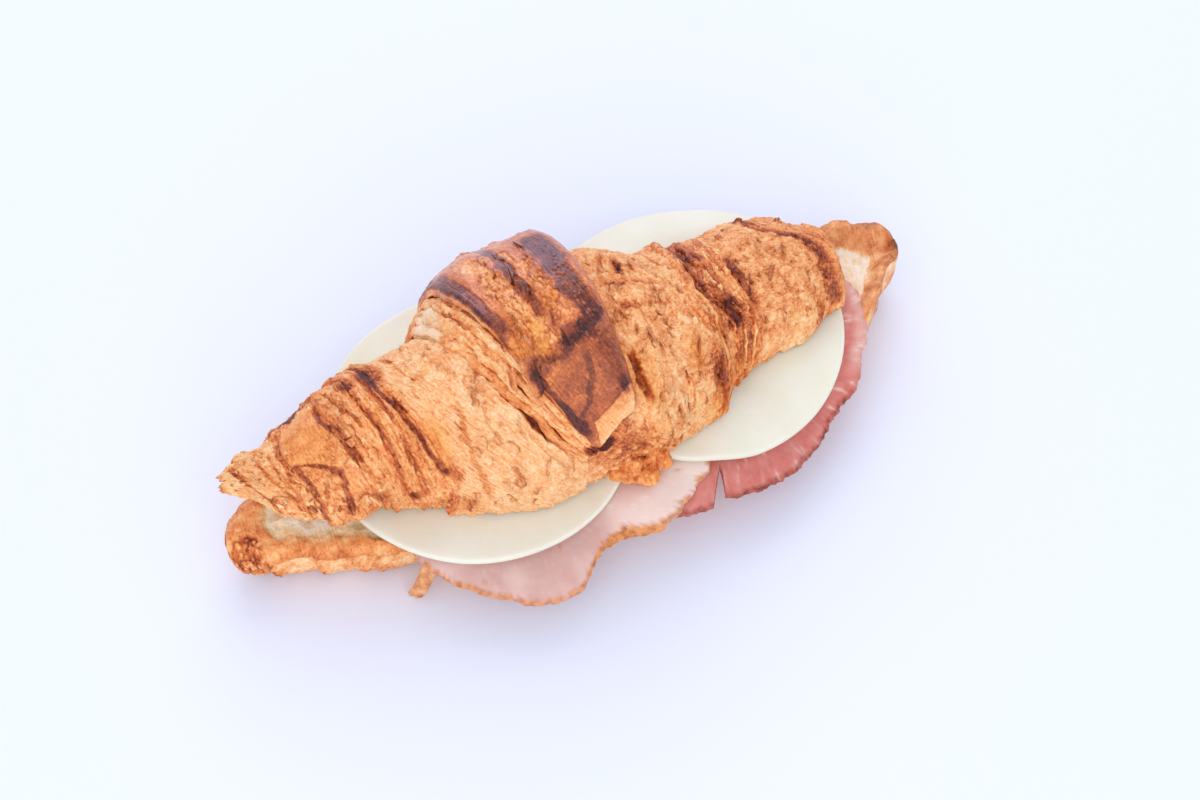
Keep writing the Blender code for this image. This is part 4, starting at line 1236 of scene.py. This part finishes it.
def build_base(dough):
    """The base: a belly of layers that step down from the middle to the tips, a rounded crust rim
    round the cut face at both ends, and torn crumb inside it."""
    def rosette(point):
        """Dark pits between pale grains, by the distance to random points."""
        far = np.hypot((point[..., 0] - ROSETTE[0]) / ROSETTE[2],
                       (point[..., 1] - ROSETTE[1]) / ROSETTE[3])
        inside = fade(0.75, 1.1, far)
        cell, share = nearest_cell(point, 1.5, 208)
        pit = smooth_step(0.45, 0.85, cell) * inside
        return inside * (0.32 * pit * (0.5 + share) - 0.06), inside * (pit - 0.2 * share)

    def belly(bare, x, angle):
        way = np.radians(angle) * GIRTH
        warp = rough_lumps(bare, 5, 3, 201)
        fold = lumps(triple(x + 0.8 * warp, way / 6, 1), 3.4, 202)
        fine = rough_lumps(triple(x, way / 6, 2), 1.1, 2, 203)
        grain = rough_lumps(bare, 1.6, 2, 204)
        relief = (0.5 * rough_lumps(bare, 16, 2, 205) + 0.5 * fold + 0.35 * np.abs(fine)
                  + 0.12 * grain)
        under = plateau(22, 50, 130, 158, angle)
        bake = 0.25 + 0.16 * warp + 0.12 * fold + 0.08 * knob(x) + tip_tone(x, warp)
        bake = bake + 0.24 * near_right(x) * under
        bake = bake + 0.12 * fade(0, 0.25, np.abs(fine))
        for place, facing in BASE_LIPS:
            bend = 3.5 * lumps(triple(way, place, 0), 22, 206) + 0.8 * warp
            inward = (x - place - bend) * -facing
            relief = relief + 1.3 * (inward > 0) * np.exp(-np.maximum(inward, 0) / 9)
            bake = bake + 0.26 * np.exp(-np.abs(inward - 0.3) / 0.7)
        course = 2.4 * (lumps(triple(x, way / 3, 5), 6, 207) + 0.35 * warp)
        part = course - np.floor(course)
        relief = relief + 0.24 * (np.floor(course) + smooth_step(0, 0.14, part))
        # A dark line at the foot of each step: partly burnt edge, partly painted shade
        bake = bake + 0.12 * hump_curve(part, 0.96, 0.07)
        pitted, pit_depth = rosette(bare)
        bake = bake + pitted
        relief = relief - pit_depth
        low = smooth_step(3, 0.5, bare[..., 2])
        orange = 0.25 * smooth_step(0.2, 0.6, lumps(bare, 12, 209))
        return relief * (1 - 0.85 * low), finish_of(
            bake + 0.12 * low, orange, 0.25 * near_right(x), 0.25, x, way)

    def near_right(x):
        return smooth_step(TIP_RIM_START_X, TIP_RIM_FULL_X, x)

    def tip_tone(x, warp):
        return near_right(x) * (0.02 + 0.12 * warp) + 0.22 * smooth_step(92.5, 96, x + warp)

    def near_left(x):
        return fade(-66, -50, x)

    def knob(x):
        return fade(-91, -85, x)

    def cut_height(x, y, edge):
        rim = TIP_RIM_HEIGHT * near_right(x) * fade(1.5, TIP_RIM_WIDTH, edge)
        round_off = 2 * near_left(x) * fade(0, BASE_RIM_LEFT, edge) ** 1.5
        return CUT_Z + rim - round_off + 1.4 * knob(x) * smooth_step(0, BASE_RIM_LEFT, edge)

    def cut_detail(x, y, edge):
        spot = triple(x, y, 4)
        warp = rough_lumps(spot, 5, 3, 211)
        rim = 1 + (BASE_RIM_LEFT - 0.5) * near_left(x)
        rim = rim + (TIP_RIM_WIDTH + 0.2) * near_right(x) + 9 * knob(x)
        rim = rim + 6 * near_right(x) * (smooth_step(2.5, -1, y) + smooth_step(88, 91, x))
        crumb = smooth_step(-0.4, 0.8, edge - rim + 0.8 * warp)
        deep, tone = torn_crumb(x, y, 1, 212)
        crust_tone = 0.36 + 0.16 * warp + tip_tone(x, warp)
        crust_tone = crust_tone + 0.14 * near_right(x) * fade(0.4, 2.4, edge)
        pitted, pit_depth = rosette(triple(x, y, 16.5))
        fold = lumps(triple(x / 3, y, 7), 1.8, 213)
        crust_tone = crust_tone + pitted + 0.1 * fold
        drop = crumb * (deep - 0.3) + (1 - crumb) * (0.5 * warp + 0.3 * fold - pit_depth)
        drop = drop * smooth_step(0, 1.5, edge)
        fringe = fade(rim + 0.5, rim + 5, edge)
        tone = tone + near_left(x) * (0.42 * fringe - 0.1) - 0.1 * near_right(x)
        return drop, finish_of(crumb * tone + (1 - crumb) * crust_tone, 0,
                               np.maximum(crumb, 0.25 * near_right(x)), 0.25 * (1 - crumb), x, y)

    def skin(x, angle, lift):
        point = base_skin(x, angle, lift)
        down = np.abs(np.sin(np.radians(angle))) ** BELLY_SQUARENESS
        point[..., 2] -= 2 * near_left(x) * fade(0, 0.25, down)
        return point

    # rings stand closer together towards the tips, and points closer towards the cut
    course, sweep = (np.linspace(-1, 1, number) for number in BASE_COUNT)
    along = BASE_MIDDLE_X + BASE_HALF_LENGTH * (1.2 * course - 0.2 * course**5)
    around = 90 * (1 + np.sign(sweep) * np.abs(sweep) ** 0.8)
    piece = body("base_loaf", skin, along, around, cut_height, belly, cut_detail, dough,
                 inside_out=True)
    rest(piece, "croissant_base")


def build_lid_crumb(dough):
    """The lid's inside: plain under the layers, torn crumb on the cut face."""
    def under(bare, x, angle):
        return np.full_like(x, -2.2), finish_of(0.55, 0.4, 0, 0, x, np.radians(angle) * GIRTH)

    def cut_detail(x, y, edge):
        drop, tone = torn_crumb(x, y, -0.8, 222)
        return (drop + 0.3) * smooth_step(0, 1.5, edge), finish_of(tone, 0, 1, 0, x, y)

    piece = body("lid_crumb", lid_skin, np.linspace(-93.4, 75, LID_CRUMB_COUNT[0]),
                 np.linspace(0, 180, LID_CRUMB_COUNT[1]),
                 lambda x, y, edge: lid_underside(x, y), under, cut_detail, dough, inside_out=False)
    rest(piece, "croissant_lid")


# ---------------------------------------------------------------- slices
DISC_RINGS = 28
DISC_RIM = 0.6
RIM_POINTS = 7


def build_disc(name, detail, material, sectors=360, slit=None):
    """A round slice, closed: a profile from the middle of its top, out over a rounded rim and back
    to the middle of its underside, carried round the slice's outline; the whole is laid on what is
    under it and sags past the base."""
    spec = SLICES[name]
    azimuth = np.linspace(-180, 180, sectors, endpoint=False)[:, None]
    reach = slice_reach(name, azimuth)
    if slit is not None:
        towards, half_width, depth = slit
        turn = np.abs((azimuth - towards + 180) % 360 - 180)
        reach = reach - depth * clip01(1 - turn / half_width) ** 0.5
    reach, fields_at = detail(azimuth, reach)
    thick = spec["thickness"]
    out = np.linspace(0, 1, DISC_RINGS + 1)[1:] ** 0.7
    arc = np.linspace(0, np.pi, RIM_POINTS + 2)[1:-1]
    flat = np.zeros(DISC_RINGS)
    share = np.concatenate((out, np.ones(RIM_POINTS), out[::-1]))
    push = np.concatenate((flat, np.sin(arc) * DISC_RIM, flat))
    high = np.concatenate((flat + 1, (np.cos(arc) + 1) / 2, flat))
    radius = (reach - DISC_RIM) * share + push
    angle = np.radians(azimuth)
    x = spec["centre"][0] + radius * np.cos(angle)
    y = spec["centre"][1] + radius * np.sin(angle)
    lift, thin, fields = fields_at(x, y, azimuth + 0 * radius, reach - radius, radius)
    below = STACK[:STACK.index(name)]
    z = stack_height(x, y, below)
    z = z - spec["sag"] * overhang(x, y) ** 2 + lift + thick * high * thin
    ring = np.stack((x, y, z), axis=-1)
    count = ring.shape[1]
    first = np.arange(sectors) * count
    after = ((np.arange(sectors) + 1) % sectors) * count
    here, beside = (start[:, None] + np.arange(count - 1)[None, :] for start in (first, after))
    quads = np.stack((here, here + 1, beside + 1, beside), axis=-1).reshape(-1, 4)
    pole = sectors * count
    middle = np.array([spec["centre"]], dtype=float)
    middle_z = stack_height(middle[:, 0], middle[:, 1], below)[0]
    poles = np.array([[*spec["centre"], middle_z + thick], [*spec["centre"], middle_z]])
    top_fan = np.stack((np.full(sectors, pole), first, after), axis=-1)
    low_fan = np.stack((np.full(sectors, pole + 1), after + count - 1, first + count - 1), axis=-1)
    values = {}
    for field, value in fields.items():
        value = value + np.zeros_like(radius)
        values[field] = np.concatenate((value.ravel(), [value[:, 0].mean()] * 2))
    piece = make_piece(name.replace("slice", "round"), np.concatenate((ring.reshape(-1, 3), poles)),
                       quads, np.concatenate((top_fan, low_fan)), values, material)
    rest(piece, name)


def build_rind(material):
    """A strip of rind that hangs from the ham: rings from its top to its notched end, each a flat
    oval with a ridge, which narrows and leans outwards on its way down."""
    down = np.linspace(0, 1, 70)[:, None]
    turn = np.linspace(0, 2 * np.pi, 48, endpoint=False)[None, :]
    start, end = np.array(RIND_TOP), np.array(RIND_END)
    middle = start + (end - start) * down[..., None] + np.array((0, -1, 0)) * np.sin(
        np.pi * down[..., None])
    across, normal = np.array(RIND_ACROSS), np.array(RIND_NORMAL)
    side, front = np.cos(turn), np.sin(turn)
    half = RIND_WIDTH / 2 * (1 - 0.15 * down) * smooth_step(-0.04, 0.03, down) * (
        1 - 0.35 * smooth_step(0.93, 1, down))
    point = middle + across * (half * side)[..., None]
    rough = rough_lumps(point, 2.2, 3, 501)
    thick = 0.75 + 0.35 * (1 - np.abs(side + 0.2)) + 0.35 * rough
    thick = thick * (1 - 0.5 * smooth_step(0.9, 1, down))
    notch = -1.1 * smooth_step(0.8, 1, down) * hump_curve(side, 0.1, 0.35)
    ring = point + normal * (thick * front)[..., None] + (end - start) / 12 * notch[..., None]
    ring = ring + across * (0.3 * lumps(point, 3, 502))[..., None]
    piece = make_piece("rind_strip", *closed_rings(ring, inside_out=True), {}, material)
    rest(piece, "ham_rind_strip")


def cheese_detail(seed):
    """Cheese is round and even; it only waves a little, less towards its middle."""
    def outline(azimuth, reach):
        def fields_at(x, y, azimuths, inside, radius):
            outwards = smooth_step(0, 20, radius)
            return 0.25 * lumps(triple(x, y, seed * 9), 16, seed) * outwards, 1, {}
        return reach, fields_at
    return outline


HAM_RUFFLE = 0.9


def ham_detail(seed, fat, rind):
    """Ham's edge wanders and ruffles outside the base; fat and rind fields for its material."""
    def outline(azimuth, reach):
        angle = np.radians(azimuth)
        outline_spot = triple(np.cos(angle) * 40, np.sin(angle) * 40, seed)
        reach = reach + 0.55 * rough_lumps(outline_spot, 4, 4, seed, 0.65)

        def fields_at(x, y, azimuths, inside, radius):
            spot = triple(x, y, seed * 9)
            past = smooth_step(2, 16, overhang(x, y))
            lift = -HAM_RUFFLE * past * (1 + rough_lumps(spot, 13, 2, seed))
            near_rim = fade(0, 3, inside)
            lift = lift + 0.3 * near_rim * rough_lumps(spot, 1.8, 2, seed + 7)
            return lift, 1 - 0.35 * near_rim, {"fat": fat(azimuths, inside, spot),
                                               "rind": rind(azimuths, inside, spot)}
        return reach, fields_at
    return outline


def build_slices(cheese, pink, red):
    """Both slices of cheese and both of ham. A ham's fat and rind are fields of its azimuth, of
    how far inside its rim a point lies, and of noise."""
    build_disc("cheese_slice_left", cheese_detail(1), cheese)
    build_disc("cheese_slice_right", cheese_detail(2), cheese)

    def pink_fat(azimuth, inside, spot):
        band = plateau(-80, -62, -10, 10, azimuth)
        cloud = lumps(spot, 8, 3)
        grain = smooth_step(0.35, 0.8, lumps(spot, 1.5, 4))
        return clip01(0.85 * band * smooth_step(16, 6, inside + 3 * cloud) + 0.3 * grain
                      + 0.25 * smooth_step(-0.2, 0.8, cloud))

    def pink_rind(azimuth, inside, spot):
        ragged = 1.1 * rough_lumps(spot, 2.6, 3, 5, 0.6)
        width = 1 + 1.7 * hump_curve(azimuth, -66, 12) + ragged
        strong = 0.75 + 0.35 * hump_curve(azimuth, -67, 14) + 0.3 * ragged
        return clip01(strong) * fade(width * 0.7, width * 1.2, inside)

    def red_fat(azimuth, inside, spot):
        vein = rough_lumps(triple(azimuth / 3, inside / 5 + azimuth / 14, 0), 1.2, 3, 9)
        edge = smooth_step(-36, -26, azimuth) * fade(2, 4.6, inside)
        return clip01(0.55 * smooth_step(0.55, 0.8, vein) + 0.15 * smooth_step(0, 0.6, vein)
                      + 0.5 * edge)

    def red_rind(azimuth, inside, spot):
        ragged = 0.5 * lumps(spot, 1.6, 15)
        there = 0.3 + 0.7 * fade(-46, -34, azimuth)
        line = clip01(0.95 + ragged)
        line = line * fade(0.6, 1.7, inside + 1.4 * ragged)
        return np.maximum(there * line, 0.16 * fade(1, 9, inside))

    build_disc("ham_slice_pink", ham_detail(3, pink_fat, pink_rind), pink)
    build_disc("ham_slice_red", ham_detail(4, red_fat, red_rind), red, 560,
               RED_HAM_SLIT)


# ---------------------------------------------------------------- camera, floor, light
CAMERA_ELEVATION = 59
CAMERA_TURN = 21.7
CAMERA_DISTANCE = 0.5136
CAMERA_LENS = 60
CAMERA_SENSOR = 36
CAMERA_TARGET = (0.00284 + CENTRE_X * MM, -0.0053 + CENTRE_Y * MM, 0.02112)
FLOOR_HALF = 3
# Area lamps: name, place, size, power, colour
LAMPS = (
    ("window", (0.3, 0.8, 0.8), 0.9, 3.75, "#FFFCFF"),
    ("fill", (-0.3, -0.8, 0.66), 1.4, 6.3, "#FCFAFF"),
    ("sheen", (0.1, 0.9, 0.42), 0.7, 5.6, "#DCD8FF"),
)
SKY_COLOUR = "#ECF0FF"
SKY_STRENGTH = 0.89


def build_camera():
    """The photo's camera: it looks down at 59 degrees, from the front and a little to the left."""
    rise = np.radians(CAMERA_ELEVATION)
    turn = np.radians(CAMERA_TURN)
    ahead = Vector((np.sin(turn) * np.cos(rise), np.cos(turn) * np.cos(rise), -np.sin(rise)))
    right = Vector((np.cos(turn), -np.sin(turn), 0))
    up = right.cross(ahead)
    lens = bpy.data.cameras.new("camera")
    lens.lens = CAMERA_LENS
    lens.sensor_width = CAMERA_SENSOR
    camera = bpy.data.objects.new("camera", lens)
    turned = Matrix((right, up, -ahead)).transposed().to_4x4()
    away = Vector(CAMERA_TARGET) - ahead * CAMERA_DISTANCE
    camera.matrix_world = Matrix.Translation(away) @ turned
    bpy.context.scene.collection.objects.link(camera)
    bpy.context.scene.camera = camera


def build_studio():
    """A pale floor, a broad soft light behind and one in front, an even pale sky, and a low lamp
    behind that only shows as a sheen on what shines."""
    material, tree = new_material("matt paper floor")
    shader = add(tree, "BsdfPrincipled", {"Base Color": colour("#E9EEFA"), "Roughness": 0.9})
    add(tree, "OutputMaterial", {"Surface": shader})
    mesh = bpy.data.meshes.new("floor")
    mesh.from_pydata([(FLOOR_HALF * x, FLOOR_HALF * y, 0)
                      for x, y in ((-1, -1), (1, -1), (1, 1), (-1, 1))], [], [(0, 1, 2, 3)])
    mesh.materials.append(material)
    floor = bpy.data.objects.new("floor", mesh)
    bpy.context.scene.collection.objects.link(floor)
    for name, place, size, power, tone in LAMPS:
        lamp = bpy.data.lights.new(name, "AREA")
        lamp.size = size
        lamp.energy = power
        lamp.color = colour(tone)[:3]
        light = bpy.data.objects.new(name, lamp)
        light.location = place
        light.rotation_euler = (-Vector(place)).to_track_quat("-Z", "Y").to_euler()
        light.visible_diffuse = name != "sheen"
        bpy.context.scene.collection.objects.link(light)
    world = bpy.data.worlds.new("studio")
    world.use_nodes = True
    sky = world.node_tree.nodes["Background"]
    sky.inputs["Color"].default_value = colour(SKY_COLOUR)
    sky.inputs["Strength"].default_value = SKY_STRENGTH
    bpy.context.scene.world = world
    bpy.context.scene.view_settings.view_transform = "Standard"


def main():
    """Camera and studio, one material for each substance, then every piece."""
    build_camera()
    build_studio()
    dough = dough_material("laminated dough, baked", 0.04, (0.66, 0.34), 0.22)
    glazed = dough_material("laminated dough, egg-washed and baked dark", 0.36, (0.55, 0.28), 0.2)
    cheese = cheese_material()
    pink = ham_material("cooked ham, sliced", ("#CDA194", "#DAB1A4"), "#F0DACC",
                        ("#DE9450", "#B4622A"))
    red = ham_material("cured ham, sliced", ("#CF6C5E", "#DF8F81"), "#F2D0C0",
                       ("#B25A48", "#7A3426"))
    build_lid(dough, glazed)
    build_lid_crumb(dough)
    build_base(dough)
    build_slices(cheese, pink, red)
    build_rind(rind_material())


main()
